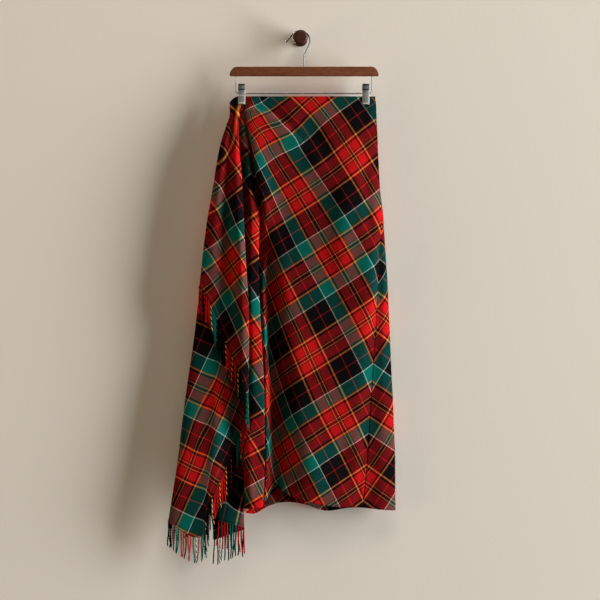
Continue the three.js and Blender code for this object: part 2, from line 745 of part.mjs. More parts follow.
function buildTube() {
  const frontSpans = Object.keys(FRONT_COLUMNS).length - 1;
  const total = Object.keys(FRONT_COLUMNS).length + Object.keys(BACK_COLUMNS).length + 2;
  const steps = [];
  for (let span = 0; span < total; span += 1) {
    const wide = span === 1 || span === 2;
    const turn = span >= total - 3;
    steps.push(span < frontSpans ? (wide ? 3 : 2) : turn ? 2 : 1);
  }
  const rowSteps = [];
  for (let i = 0; i < TUBE_ROWS.length - 1; i += 1) {
    const parts = TUBE_ROWS[i + 1] - TUBE_ROWS[i] > 90 ? 3 : TUBE_ROWS[i + 1] - TUBE_ROWS[i] > 50 ? 2 : 1;
    for (let k = 0; k < parts; k += 1) {
      rowSteps.push(TUBE_ROWS[i] + ((TUBE_ROWS[i + 1] - TUBE_ROWS[i]) * k) / parts);
    }
  }
  rowSteps.push(SKIRT_DROP);
  const grid = rowSteps.map((drop) => sampleAcross(tubeControls(drop), steps, true));
  const normals = gridNormals(grid, true);
  const split = steps.slice(0, frontSpans).reduce((sum, n) => sum + n, 0);
  const front = grid.map((row) => row.slice(0, split + 1).map((p) => p.clone()));
  const frontNormals = normals.map((row) => row.slice(0, split + 1));
  const back = grid.map((row) => [...row.slice(split), row[0]].map((p) => p.clone()));
  const backNormals = normals.map((row) => [...row.slice(split), row[0]]);
  trimSides(front);
  trimSides(back);
  addPart("skirt_front", clothSolid(front, frontNormals, CLOTH_THICKNESS), FRONT_LOOK);
  addPart("skirt_back", clothSolid(back, backNormals, CLOTH_THICKNESS), BACK_LOOK);
}

// ---- Drape and fringe ----

// Points of every column of a hanging sheet at the share v of its length.
function sheetControls(columns, rows, v) {
  return Object.values(columns).map((column) => {
    const z = column.top + v * (column.bottom - column.top);
    return new THREE.Vector3(tableValue(rows, column.x, z), tableValue(rows, column.y, z), z);
  });
}

function hangingSheet(columns, rows, steps, shares) {
  const grid = shares.map((v) => sampleAcross(sheetControls(columns, rows, v), steps, false));
  return { grid, normals: gridNormals(grid, false) };
}

// A strand of three sides that hangs straight down from a point, with a slight lean.
function strandSolid(root, length, lean, twist) {
  const levels = [[0, 0.55], [1, 1]];
  const positions = [];
  for (const [share, girth] of levels) {
    for (let k = 0; k < 3; k += 1) {
      const angle = twist + (k * 2 * Math.PI) / 3;
      positions.push(
        root.x + lean.x * share * share + STRAND_RADIUS * girth * Math.cos(angle),
        root.y + lean.y * share * share + STRAND_RADIUS * girth * Math.sin(angle),
        root.z - length * share,
      );
    }
  }
  const indices = [0, 1, 2, 3, 5, 4];
  for (let k = 0; k < 3; k += 1) {
    const next = (k + 1) % 3;
    indices.push(k, k + 3, next + 3, k, next + 3, next);
  }
  return solidGeometry(positions, indices);
}

// Directions in the sheet, square to its lower edge and away from it.
function edgeDirections(sheet) {
  const points = sheet.grid[sheet.grid.length - 1];
  const normals = sheet.normals[sheet.normals.length - 1];
  const last = points.length - 1;
  return points.map((point, i) => {
    const edge = points[Math.min(i + 1, last)].clone().sub(points[Math.max(i - 1, 0)]);
    const out = normals[i].clone().cross(edge).normalize();
    return out.z > 0 ? out.negate() : out;
  });
}

// A narrow strip just off the sheet's lower edge, with strands fused into it.
function fringeGeometry(sheet, from, to, seed, endMargin) {
  const rowPoints = sheet.grid[sheet.grid.length - 1].slice(from, to + 1);
  const rowNormals = sheet.normals[sheet.normals.length - 1].slice(from, to + 1);
  const down = edgeDirections(sheet).slice(from, to + 1);
  const last = rowPoints.length - 1;
  const strip = [0.36, STRIP_WIDTH].map((offset) => rowPoints.map(
    (point, i) => point.clone().addScaledVector(down[i], offset),
  ));
  for (const row of strip) {
    const inward = row[1].clone().sub(row[0]).normalize();
    const outward = row[last - 1].clone().sub(row[last]).normalize();
    row[0].addScaledVector(inward, 0.5);
    row[last].addScaledVector(outward, 0.5);
  }
  let solid = toManifold(clothSolid(strip, [rowNormals, rowNormals], CLOTH_THICKNESS));
  const low = strip[1];
  const lengths = [0];
  for (let i = 1; i <= last; i += 1) {
    lengths.push(lengths[i - 1] + low[i].distanceTo(low[i - 1]));
  }
  const whole = lengths[last];
  const usable = whole - 2.5 - endMargin;
  const count = Math.max(2, Math.round(usable / STRAND_PITCH) + 1);
  for (let n = 0; n < count; n += 1) {
    const along = 2.5 + (usable * n) / (count - 1);
    let i = 0;
    while (i < last - 1 && lengths[i + 1] < along) {
      i += 1;
    }
    const t = (along - lengths[i]) / (lengths[i + 1] - lengths[i]);
    const root = low[i].clone().lerp(low[i + 1], t);
    root.addScaledVector(down[i], -1.6);
    const lean = new THREE.Vector2(3 * (scatter(seed + n) - 0.5), 2 * (scatter(seed + n + 50) - 0.7));
    const length = STRAND_LENGTH * (0.94 + 0.1 * scatter(seed + n + 90));
    const strand = strandSolid(root, length, lean, scatter(n) * 2);
    solid = solid.add(toManifold(strand));
  }
  return fromManifold(solid);
}

function addFringe(name, sheet, from, to, seed, endMargin) {
  addPart(name, fringeGeometry(sheet, from, to, seed, endMargin), FRINGE_LOOK);
}

function buildOuterDrape() {
  const names = Object.keys(OUTER_COLUMNS);
  const steps = names.slice(0, -1).map((name) => (
    ["rightRib", "rightFold", "underEdge", "leftFold"].includes(name) ? 3 : 2
  ));
  const shares = [0, 0.02, 0.05, 0.09, 0.13, 0.18, 0.23, 0.28, 0.34, 0.4, 0.46, 0.52, 0.58, 0.64, 0.7, 0.76, 0.82,
    0.88, 0.94, 1];
  const sheet = hangingSheet(OUTER_COLUMNS, DRAPE_ROWS, steps, shares);
  addPart("drape_outer", clothSolid(sheet.grid, sheet.normals, CLOTH_THICKNESS), DRAPE_LOOK);
  const columnStart = (name) => steps.slice(0, names.indexOf(name)).reduce((sum, n) => sum + n, 0);
  const fold = columnStart("rightFold");
  const corner = columnStart("underLeft");
  const leftFold = columnStart("leftFold");
  const end = sheet.grid[0].length - 1;
  addFringe("fringe_upper", sheet, 0, fold, 3, 8);
  addFringe("fringe_side", sheet, fold, corner, 131, 7);
  addFringe("fringe_lower", sheet, corner, leftFold, 257, 3);
  addFringe("fringe_behind", sheet, leftFold, end, 389, 3);
}

function buildInnerDrape() {
  const shares = [0, 0.1, 0.22, 0.36, 0.5, 0.64, 0.78, 0.9, 1];
  const sheet = hangingSheet(INNER_COLUMNS, INNER_ROWS, [3, 3, 3, 3], shares);
  addPart("drape_inner", clothSolid(sheet.grid, sheet.normals, CLOTH_THICKNESS), DRAPE_LOOK);
  addFringe("fringe_inner", sheet, 0, sheet.grid[0].length - 1, 521, 3);
}

buildPeg();
buildHook();
buildBar();
buildWire();
buildClip("left", CLIP_LEFT_X, -47.6, -26.8);
buildClip("right", CLIP_RIGHT_X, -37.4, -26.8);
buildTube();
buildOuterDrape();
buildInnerDrape();

export default group;
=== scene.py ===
# %% [markdown]
# # A hanging tartan skirt
# A long bias-cut wool skirt hangs from a wooden bar hanger. Two clips hold its waist, and at one hip the
# cloth is gathered and falls as a fringed drape. The model that is loaded here carries the true sizes.
# This lesson dresses it: finer folds, a woven tartan, twisted fringe, wood and polished wire.

import math

import bpy
import numpy as np
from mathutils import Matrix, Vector, noise


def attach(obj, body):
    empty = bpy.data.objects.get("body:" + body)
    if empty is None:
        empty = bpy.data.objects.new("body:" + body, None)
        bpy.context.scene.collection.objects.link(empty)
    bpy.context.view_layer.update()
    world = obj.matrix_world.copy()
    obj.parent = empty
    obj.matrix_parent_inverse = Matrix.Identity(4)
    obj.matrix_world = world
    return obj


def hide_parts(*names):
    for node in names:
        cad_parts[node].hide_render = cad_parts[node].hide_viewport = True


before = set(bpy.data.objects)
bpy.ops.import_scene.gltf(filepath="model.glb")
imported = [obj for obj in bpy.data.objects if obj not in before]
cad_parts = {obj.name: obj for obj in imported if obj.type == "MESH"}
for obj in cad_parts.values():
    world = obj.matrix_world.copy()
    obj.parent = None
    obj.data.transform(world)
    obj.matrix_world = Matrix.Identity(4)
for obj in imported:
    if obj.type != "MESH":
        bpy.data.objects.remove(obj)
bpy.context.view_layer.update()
MM = 0.001
print("nodes in the frame:", len(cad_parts))

# %% [markdown]
# ## Cloth from fold lines
# Draped cloth is made of folds that run down it and change slowly. Sculpting works, and so does a cloth
# simulation, but neither keeps a fold where it is wanted. Here a table names each fold line and gives its
# place at a few heights, and smooth curves fill in the rest, so a fold can be moved by changing one number.

# %% Smooth values between table rows
def table_value(rows, values, at):
    """Values of one column at the places `at`, on a smooth curve that doesn't overshoot its rows."""
    rows = np.asarray(rows, float)
    values = np.asarray(values, float)
    if rows[0] > rows[-1]:
        rows, at = -rows, -np.asarray(at, float)
    at = np.clip(at, rows[0], rows[-1])
    slope = np.diff(values) / np.diff(rows)
    before, after = slope[:-1], slope[1:]
    same_way = before * after > 0
    total = np.where(same_way, before + after, 1.0)
    inner = np.where(same_way, 2 * before * after / total, 0.25 * (before + after))
    tangent = np.concatenate([[slope[0]], inner, [slope[-1]]])
    i = np.clip(np.searchsorted(rows, at, side="right") - 1, 0, len(rows) - 2)
    span = rows[i + 1] - rows[i]
    t = (at - rows[i]) / span
    return (
        values[i] * (2 * t**3 - 3 * t**2 + 1)
        + tangent[i] * span * (t**3 - 2 * t**2 + t)
        + values[i + 1] * (3 * t**2 - 2 * t**3)
        + tangent[i + 1] * span * (t**3 - t**2)
    )


# %% Smooth curves across the fold lines
def across(controls, steps, closed):
    """Points (rows, n, 3) on curves through each row's control points, `steps` of them per span."""
    count = controls.shape[1]
    spans = count if closed else count - 1
    if closed:
        pick = lambda k: controls[:, k % count]
    else:
        ends = [2 * controls[:, 0] - controls[:, 1], 2 * controls[:, -1] - controls[:, -2]]
        pick = lambda k: ends[0] if k < 0 else ends[1] if k >= count else controls[:, k]
    columns = []
    for span in range(spans):
        p0, p1, p2, p3 = (pick(span + k) for k in (-1, 0, 1, 2))
        gaps = [np.maximum(np.linalg.norm(b - a, axis=1, keepdims=True), 1e-4) ** 0.5
                for a, b in ((p0, p1), (p1, p2), (p2, p3))]
        d0, d1, d2 = gaps
        t1 = ((p1 - p0) / d0 - (p2 - p0) / (d0 + d1) + (p2 - p1) / d1) * d1
        t2 = ((p2 - p1) / d1 - (p3 - p1) / (d1 + d2) + (p3 - p2) / d2) * d1
        for k in range(steps[span]):
            t = k / steps[span]
            columns.append(
                p1 * (2 * t**3 - 3 * t**2 + 1) + t1 * (t**3 - 2 * t**2 + t)
                + p2 * (3 * t**2 - 2 * t**3) + t2 * (t**3 - t**2)
            )
    if not closed:
        columns.append(controls[:, -1])
    return np.stack(columns, axis=1)


def unit(vectors):
    """The same directions with a length of 1."""
    return vectors / np.maximum(np.linalg.norm(vectors, axis=-1, keepdims=True), 1e-9)


def sheet_normals(grid, closed=False):
    """Unit normals of a grid of points."""
    if closed:
        side = unit(np.roll(grid, -1, 1) - grid) + unit(grid - np.roll(grid, 1, 1))
    else:
        step = unit(np.diff(grid, axis=1))
        side = np.concatenate([step[:, :1], step[:, 1:] + step[:, :-1], step[:, -1:]], axis=1)
    down = np.gradient(grid, axis=0)
    return unit(np.cross(side, down))


# %% Meshes from arrays
def turn_outwards(obj):
    """Turns all faces if the closed mesh encloses a negative volume."""
    mesh = obj.data
    mesh.calc_loop_triangles()
    places = np.empty(len(mesh.vertices) * 3)
    mesh.vertices.foreach_get("co", places)
    corners = np.empty(len(mesh.loop_triangles) * 3, dtype=np.int32)
    mesh.loop_triangles.foreach_get("vertices", corners)
    p, q, r = places.reshape(-1, 3)[corners.reshape(-1, 3)].transpose(1, 0, 2)
    if np.einsum("ij,ij->", p, np.cross(q, r)) < 0:
        mesh.flip_normals()


def smooth_mesh(name, points, faces, uv=None, sharp=None):
    """A closed mesh from points in mm, with a UV map where given; edges above `sharp` degrees stay crisp."""
    mesh = bpy.data.meshes.new(name)
    mesh.from_pydata((np.asarray(points) * MM).tolist(), [], faces)
    if uv is not None:
        layer = mesh.uv_layers.new(name="grain")
        corners = np.empty(len(mesh.loops), dtype=np.int32)
        mesh.loops.foreach_get("vertex_index", corners)
        layer.data.foreach_set("uv", (uv[corners] * MM).ravel())
    mesh.polygons.foreach_set("use_smooth", [True] * len(mesh.polygons))
    mesh.update()
    obj = bpy.data.objects.new(name, mesh)
    bpy.context.scene.collection.objects.link(obj)
    turn_outwards(obj)
    if sharp is not None:
        mesh.set_sharp_from_angle(angle=math.radians(sharp))
    return obj


def ring_faces(rings, sides):
    """Faces of a tube through `rings` rings of `sides` points each, with a cap on both ends."""
    index = np.arange(rings * sides).reshape(rings, sides)
    following = np.roll(index, -1, axis=1)
    quads = np.stack([index[:-1], following[:-1], following[1:], index[1:]], axis=-1)
    return quads.reshape(-1, 4).tolist() + [index[0][::-1].tolist(), index[-1].tolist()]


def ring_mesh(name, rings, sharp=None):
    """A closed mesh through a list of rings with the same number of points."""
    return smooth_mesh(name, np.concatenate(rings), ring_faces(len(rings), len(rings[0])), sharp=sharp)


def circle(sides):
    """Cosines and sines of evenly spaced angles round a circle."""
    angles = np.arange(sides) * 2 * math.pi / sides
    return np.cos(angles), np.sin(angles)


# %% [markdown]
# ## The tube of the skirt
# The skirt is a tube with a front and a back panel. Its left part carries most of the folds: a swag that
# starts at the clip, a ridge, a deep tuck and a narrow standing fold. Every number is in millimetres.

# %% Fold lines of the front panel
WAIST_Z = -138
SKIRT_DROP = 968
TUBE_ROWS = [0, 24, 45, 68, 92, 115, 162, 221, 280, 362, 444, 550, 714, 844, 968]
FRONT_FOLDS = {
    "seam_right": dict(
        x=[174, 176, 177, 177, 178, 179, 181, 186, 191, 187, 183, 176, 165, 157, 146],
        y=[-32.4, -34, -35, -36, -38, -40, -42, -44, -46, -46, -45, -44, -42, -40, -40],
        hem=-1103,
    ),
    "side_bulge": dict(
        x=[134, 136, 140, 142, 144, 146, 151, 158, 168, 170, 168, 152, 136, 128, 118],
        y=[-34, -34.6, -38.5, -43, -47, -50.5, -56, -60, -63, -65, -63, -58, -54, -52, -52],
        hem=-1101,
    ),
    "body": dict(
        x=[60, 62, 66, 72, 78, 84, 98, 96, 96, 92, 88, 84, 80, 78, 74],
        y=[-37, -39, -43, -47, -51, -54, -59, -62, -63, -62, -60, -58, -57, -56, -56],
        hem=-1099,
    ),
    "behind_swag": dict(
        x=[-62, -106, -62, -26, -6, 12, 27, 14, -4, -20, -30, -31, -30, -28, -30],
        y=[-36.4, -36.6, -36.8, -38.5, -41, -45, -54, -57, -57, -56, -55, -54, -54, -54, -55],
        hem=-1073,
    ),
    "trough": dict(
        x=[-90, -119, -78, -44, -25, -8, -42, -50, -62, -69, -76, -74, -68, -63, -58],
        y=[-36.4, -41, -46.5, -52, -55, -57, -57, -55, -53, -46, -37, -32, -29, -29, -30],
        hem=-1051,
    ),
    "ridge": dict(
        x=[-119, -129, -127, -123, -117, -112, -104, -95, -83, -84, -88, -84, -80, -79, -83],
        y=[-36, -41, -46, -50, -54, -57, -60, -62, -59, -42, -47, -51, -52, -52, -51],
        hem=-1087,
    ),
    "tuck_front": dict(
        x=[-125, -132, -130.5, -127, -121.5, -116.5, -110, -104, -90, -93, -97, -94, -90, -89, -92],
        y=[-36, -40, -43, -46, -48, -50, -52, -51, -46, -39.5, -42, -44, -44, -44, -44],
        hem=-1090,
    ),
    "tuck_back": dict(
        x=[-129, -134, -133, -130, -125, -120, -115, -111, -103, -108, -109, -105, -100, -99, -101],
        y=[-36, -39.5, -41.5, -43, -44, -44, -43, -42, -40, -37, -37, -37, -37, -37, -38],
        hem=-1088,
    ),
    "valley_edge": dict(
        x=[-132.5, -136, -135, -132, -127, -122, -116, -111, -97, -97.5, -97, -92, -85, -83.5, -88],
        y=[-36, -39.5, -43, -46, -48, -50, -52.5, -54, -56, -59, -59, -59, -59, -58, -57],
        hem=-1099,
    ),
    "valley_ridge": dict(
        x=[-136, -138, -137.5, -136, -132, -128, -122, -118, -113, -115, -115, -113, -110, -109, -111],
        y=[-35.8, -39, -43.5, -48, -52.5, -56, -60, -63, -65, -67, -67, -67, -66, -65, -62],
        hem=-1103,
    ),
    "gap_edge": dict(
        x=[-139.5, -141, -142, -143, -142.5, -142, -138, -133, -131, -129, -128, -127, -127, -127, -128],
        y=[-34.6, -36.6, -39, -41, -43, -45, -47, -49, -50, -52, -52, -52, -52, -51, -50],
        hem=-1104,
    ),
    "seam_left": dict(
        x=[-142, -143, -144, -146, -147, -147, -146, -145, -144, -142, -140, -138, -136, -134, -132],
        y=[-32.2, -32.6, -33, -33.5, -34, -34.5, -35, -36, -36.5, -37, -37, -37, -36, -36, -36],
        hem=-1106,
    ),
}

# %% Fold lines of the back panel
# `share` is how far across the width a line runs, from the left edge to the right one.
BACK_FOLDS = {
    "left_turn": dict(
        share=0.012,
        y=[-30.4, -30, -28.6, -27, -26, -25, -24, -23, -22, -22, -22, -22, -22, -23, -24],
        hem=-1116,
    ),
    "left": dict(
        share=0.07,
        y=[-29.8, -29, -25.6, -22, -19, -17, -14, -12, -11, -11, -11, -11, -12, -13, -14],
        hem=-1119,
    ),
    "fold_a": dict(
        share=0.17,
        y=[-29.2, -27, -25, -23, -21, -20, -18, -16, -15, -14, -14, -14, -14, -14, -15],
        hem=-1100,
    ),
    "fold_b": dict(
        share=0.28,
        y=[-28.4, -25, -22, -19, -17, -15, -12, -10, -9, -9, -9, -9, -10, -10, -11],
        hem=-1092,
    ),
    "centre": dict(
        share=0.4,
        y=[-27.8, -25, -23, -21, -20, -19, -17, -15, -14, -15, -16, -17, -18, -19, -20],
        hem=-1097,
    ),
    "fold_c": dict(
        share=0.54,
        y=[-28.2, -25, -22, -19, -17, -15, -12, -10, -9, -8, -8, -8, -8, -9, -9],
        hem=-1113,
    ),
    "fold_d": dict(
        share=0.7,
        y=[-28.8, -26, -24, -22, -20, -19, -17, -15, -14, -14, -15, -16, -17, -18, -18],
        hem=-1105,
    ),
    "right": dict(
        share=0.87,
        y=[-29.8, -28.8, -26, -22.6, -20, -18, -15, -12, -11, -10, -10, -10, -10, -11, -11],
        hem=-1107,
    ),
    "right_turn": dict(
        share=0.975,
        y=[-30.2, -29.4, -28, -26.4, -25, -24, -22, -20, -19, -18, -18, -18, -18, -18, -18],
        hem=-1109,
    ),
}
RIGHT_EDGE_X = [175, 178, 178.5, 179, 180, 180.5, 183, 187, 194, 200, 205, 210, 217, 222, 223]
RIGHT_EDGE_Y = [-31, -31.5, -32, -32, -32, -32, -31, -30, -30, -30, -30, -29, -29, -29, -29]
RIGHT_WRAP_Y = [-32, -33.6, -34.6, -35.4, -37, -38.5, -40, -41, -42, -43, -43, -42, -41, -40, -40]
RIGHT_EDGE_HEM = -1110
RIGHT_WRAP_SHARE = 0.62
RIGHT_WRAP_HEM = -1108
print("fold lines in the tube:", len(FRONT_FOLDS) + len(BACK_FOLDS) + 2)

# %% Shape the tube
CLOTH = 1.6
TUBE_HEIGHTS = 250


def tube_controls(drop):
    """Control points (rows, columns, 3) round the tube at distances `drop` below the waist."""
    columns = []

    def add(x, y, hem):
        z = WAIST_Z + drop / SKIRT_DROP * (hem - WAIST_Z)
        columns.append(np.stack([x, y, z], axis=-1))

    for fold in FRONT_FOLDS.values():
        x, y = (table_value(TUBE_ROWS, fold[axis], drop) for axis in "xy")
        add(x, y, fold["hem"])
    left = table_value(TUBE_ROWS, FRONT_FOLDS["seam_left"]["x"], drop)
    right = table_value(TUBE_ROWS, RIGHT_EDGE_X, drop)
    for fold in BACK_FOLDS.values():
        y = table_value(TUBE_ROWS, fold["y"], drop)
        add(left + fold["share"] * (right - left), y, fold["hem"])
    add(right, table_value(TUBE_ROWS, RIGHT_EDGE_Y, drop), RIGHT_EDGE_HEM)
    seam = table_value(TUBE_ROWS, FRONT_FOLDS["seam_right"]["x"], drop)
    wrap = seam + RIGHT_WRAP_SHARE * (right - seam)
    add(wrap, table_value(TUBE_ROWS, RIGHT_WRAP_Y, drop), RIGHT_WRAP_HEM)
    return np.stack(columns, axis=1)


# Steps from each fold line to the next one, in the order of the tables.
FRONT_STEPS = [18, 28, 28, 12, 16, 8, 8, 8, 8, 8, 8]
BACK_STEPS = [4, 8, 10, 10, 10, 12, 12, 12, 10, 6, 8, 8]
tube_drops = np.linspace(0, SKIRT_DROP, TUBE_HEIGHTS)
tube = across(tube_controls(tube_drops), FRONT_STEPS + BACK_STEPS, closed=True)
front_at = dict(zip(FRONT_FOLDS, np.cumsum([0] + FRONT_STEPS)))
front_end = front_at["seam_left"]
print("tube grid:", tube.shape, "front columns:", front_end + 1)

# %% [markdown]
# ## Small folds
# Between the named folds a hung wool cloth is never quite smooth: it puckers below a clip, pulls in soft
# lines towards what holds it, and its hem waves a little. A few sums of soft waves, strong only where the
# cloth is pinched or loose, are added along the surface normal.

# %% Soft waves for the cloth
def soft_noise(points, size, seed):
    """Smooth repeatable noise from -1 to 1 for points in mm, with features of about `size` mm."""
    offset = Vector((seed * 17.3, seed * 5.1, seed * 9.7))
    flat = points.reshape(-1, 3) / size
    values = [noise.noise(Vector(p) + offset) for p in flat]
    return np.array(values).reshape(points.shape[:-1])


def bump(x, centre, width):
    """A soft bell, 1 high, round a centre."""
    return np.exp(-(((x - centre) / width) ** 2))


PUCKER_X = 156
RELIEF_SHARE = 0.8


def tube_relief(grid):
    """Height of the small folds of the tube, mm, outwards."""
    x, y, z = np.moveaxis(grid, -1, 0)
    drop = WAIST_Z - z
    loose = np.clip(drop / 120, 0, 1)
    wide = 1.5 * soft_noise(grid * [1, 1, 0.35], 95, 1) * loose
    slanting = 0.8 * soft_noise(np.stack([x * 0.8 - z * 0.45, y, z * 0.5], -1), 60, 2) * loose
    pinched = bump(x, PUCKER_X, 34) * bump(drop, 26, 40) * np.clip(drop / 30, 0, 1)
    pucker = 0.9 * np.sin((x - PUCKER_X) / 5.2) * pinched
    hem = 1.3 * soft_noise(np.stack([x, y * 0.4, z * 0.2], -1), 48, 3) * np.clip((drop - 800) / 170, 0, 1)
    return wide + slanting + pucker + hem


tube = tube + sheet_normals(tube, closed=True) * tube_relief(tube)[..., None] * RELIEF_SHARE

# %% [markdown]
# ## Creases placed one by one
# Weight and pull draw a few long creases into hung cloth: out of a clip, down a body, up from a hem. Waves
# can't place them, so each has its own path, width and height, and no two are alike. The back is seldom
# seen and hangs more quietly, so its creases are shallower.

# %% Paths of the creases
# A path goes through places (x, z) in mm. A positive height is a ridge, a negative one a hollow.
FROM_LEFT_CLIP = [(-121, -184), (-109, -264), (-90, -346), (-74, -405), (-59, -492), (-43, -569), (-22, -652)]
LOW_TROUGH = [(-41, -793), (-38, -887), (-34, -981), (-24, -1072)]
BODY_CREASES = [
    dict(path=FROM_LEFT_CLIP, width=23, height=7),
    dict(path=[(-106, -534), (-102, -581), (-97, -621)], width=10, height=4),
    dict(path=[(-41, -156), (-10, -203), (20, -259), (51, -316)], width=19, height=6),
    dict(path=[(107, -323), (100, -417), (96, -499), (100, -581)], width=26, height=6.5),
    dict(path=[(150, -276), (157, -381), (166, -487)], width=15, height=-5.5),
    dict(path=[(-24, -668), (-12, -727), (2, -804)], width=28, height=5),
    dict(path=LOW_TROUGH, width=22, height=-11),
    dict(path=[(13, -898), (23, -981), (35, -1072)], width=30, height=8),
    dict(path=[(96, -945), (112, -1016), (126, -1086)], width=22, height=-6),
]
BACK_CREASES = [
    dict(path=[(140, -150), (120, -300), (105, -450)], width=20, height=-3.5),
    dict(path=[(60, -140), (40, -280), (30, -380)], width=18, height=3),
    dict(path=[(-40, -150), (-30, -350), (-10, -560)], width=22, height=-3.5),
    dict(path=[(-104, -300), (-92, -500), (-70, -700)], width=18, height=3),
    dict(path=[(100, -690), (110, -850), (118, -1080)], width=24, height=4.5),
    dict(path=[(-2, -820), (-8, -960), (-12, -1080)], width=22, height=-4),
]
NARROW_FOLD_CREASES = [
    dict(path=[(-128, -887), (-128, -969), (-125, -1039), (-123, -1096)], width=15, height=13),
]
print("creases:", len(BODY_CREASES), len(BACK_CREASES), len(NARROW_FOLD_CREASES))


# %% Press the creases into the tube
def crease_height(x, z, path, width, height):
    """A soft ridge or hollow along a path, as wide as `width` on each side, that fades at its ends."""
    path = np.asarray(path, float)
    spans = np.diff(path, axis=0)
    lengths = np.linalg.norm(spans, axis=1)
    starts = np.concatenate([[0], np.cumsum(lengths)])
    nearest_gap = np.full(x.shape, np.inf)
    share = np.zeros(x.shape)
    for (x0, z0), (dx, dz), length, start in zip(path, spans, lengths, starts):
        t = np.clip(((x - x0) * dx + (z - z0) * dz) / length ** 2, 0, 1)
        gap = np.hypot(x - x0 - t * dx, z - z0 - t * dz)
        share = np.where(gap < nearest_gap, (start + t * length) / starts[-1], share)
        nearest_gap = np.minimum(gap, nearest_gap)
    ends = np.clip(np.minimum(share, 1 - share) * 5, 0, 1)
    return height * np.exp(-((nearest_gap / width) ** 2)) * (0.25 + 0.75 * ends)


def creased(grid, creases, columns):
    """The grid with its creases pushed to the front, from one column to another and softly beside them."""
    x, z = grid[..., 0], grid[..., 2]
    first, last = columns
    total = sum(crease_height(x, z, **crease) for crease in creases)
    number = np.arange(grid.shape[1])
    weight = np.clip((number - first) / 3 + 1, 0, 1) * np.clip((last - number) / 3 + 1, 0, 1)
    grid = grid.copy()
    grid[..., 1] -= total * weight
    return grid


SEAM_COLUMNS = 6
tube = creased(tube, BODY_CREASES, (SEAM_COLUMNS, front_at["ridge"]))
tube = creased(tube, BACK_CREASES, (front_end + SEAM_COLUMNS, tube.shape[1] - 1 - SEAM_COLUMNS))
tube = creased(tube, NARROW_FOLD_CREASES, (front_at["valley_edge"], front_at["gap_edge"] + 2))
tube_normals = sheet_normals(tube, closed=True)
print("the tube reaches from y =", tube[..., 1].min().round(1), "to", tube[..., 1].max().round(1), "mm")

# %% [markdown]
# ## The grain of a bias-cut cloth
# In a bias cut the two thread families run slantwise. Each point of the cloth needs its place across the
# stripes of both families. A thin-plate fit through a few pinned places, like a tailor's pins, gives a
# smooth map from length along the cloth to the two thread counts, and it becomes the UV map.

# %% Thin-plate fit through pinned places
def thin_plate(places, values, ease=40.0):
    """A smooth function of places (n, 2) in mm through values (n, k), with a little ease at each pin."""
    places = np.asarray(places, float)
    values = np.asarray(values, float)
    centre, scale = places.mean(0), 100.0
    p = (places - centre) / scale

    def bend(r2):
        return 0.5 * r2 * np.log(np.maximum(r2, 1e-12))

    count = len(p)
    r2 = ((p[:, None] - p[None]) ** 2).sum(-1)
    system = np.zeros((count + 3, count + 3))
    system[:count, :count] = bend(r2) + np.eye(count) * ease / scale
    system[:count, count] = system[count, :count] = 1
    system[:count, count + 1:] = p
    system[count + 1:, :count] = p.T
    weights = np.linalg.solve(system, np.concatenate([values, np.zeros((3, values.shape[1]))]))

    def fitted(at):
        q = (np.asarray(at, float) - centre) / scale
        out = weights[count] + q @ weights[count + 1:]
        for k in range(count):
            out = out + bend(((q - p[k]) ** 2).sum(-1))[..., None] * weights[k]
        return out

    return fitted


def run_lengths(grid, reference):
    """Length along each row from the column `reference`, mm, rising with the column number."""
    step = np.linalg.norm(np.diff(grid, axis=1), axis=-1)
    total = np.concatenate([np.zeros((len(grid), 1)), np.cumsum(step, axis=1)], axis=1)
    return total - total[:, reference:reference + 1]


CLOSE, FAR = 5.0, 1000.0


def nearest(grid, x, z, columns):
    """Row and column of the foremost grid point near (x, z), among a range of columns."""
    first, last = columns
    part = grid[:, first:last]
    away = (part[..., 0] - x) ** 2 + (part[..., 2] - z) ** 2
    depth = part[..., 1] - part[..., 1].min()
    score = away + np.where(away < CLOSE ** 2, 0.4 * depth, FAR)
    row, column = np.unravel_index(np.argmin(score), score.shape)
    return row, column + first


# %% Pins of the front panel
# Columns: x and z of a place, then how far across the stripes of the first and of the second thread family
# it lies, all in mm. A family's stripes mirror at 0 and at each half sett, and its white line is at 68.75.
MAIN_PINS = [
    (-93, -155, 68.75, -401.6), (-4, -255, 68.75, -264.1), (103, -420, 68.75, -68.75),
    (170, -537, 68.75, 68.75), (-93, -310, -68.75, -264.1), (-9, -491, -68.75, -68.75),
    (58, -611, -68.75, 68.75), (147, -783, -68.75, 264.1), (-19, -887, -264.1, 264.1),
    (43, -1004, -264.1, 401.6), (-135, -187, -68.75, -394), (-112, -259, -68.75, -319),
    (-46, -203, 68.75, -332.7), (-23, -184, 99, -332.7), (1, -161, 130.6, -332.7), (3, -205, 99, -297.3),
    (22, -184, 130.6, -297.3), (22, -235, 99, -264.1), (-49, -155, 99, -368), (-97, -220, 0, -332.7),
    (-76, -255, 0, -297.3), (-61, -283, 0, -264.1), (-117, -194, 0, -368), (-88, -178, 35.75, -368),
    (-70, -209, 35.75, -332.7), (-48, -240, 35.75, -297.3),
]
FOLD_PINS = [
    (-121, -324, -110, -264.1), (-99.6, -611.5, -264.1, -68.75), (-108.1, -660, -297, -35.75),
    (-111.4, -717, -332.7, 0), (-113, -836, -401.5, 90), (-97.3, -969, -463.35, 202.05),
    (-106.5, -1044, -505, 264.1),
]
print("pins:", len(MAIN_PINS), "and", len(FOLD_PINS))

# %% Fit the grain of the front
BODY_LINE, TUCK_FRONT, TUCK_BACK = front_at["body"], front_at["tuck_front"], front_at["tuck_back"]
FOLD_RIDGE = front_at["valley_ridge"]
tube_front = tube[:, : front_end + 1]
front_along = -run_lengths(tube_front, BODY_LINE) + tube_front[:, BODY_LINE: BODY_LINE + 1, 0]
front_heights = tube_front[..., 2]
front_here = np.stack([front_along, front_heights], axis=-1)


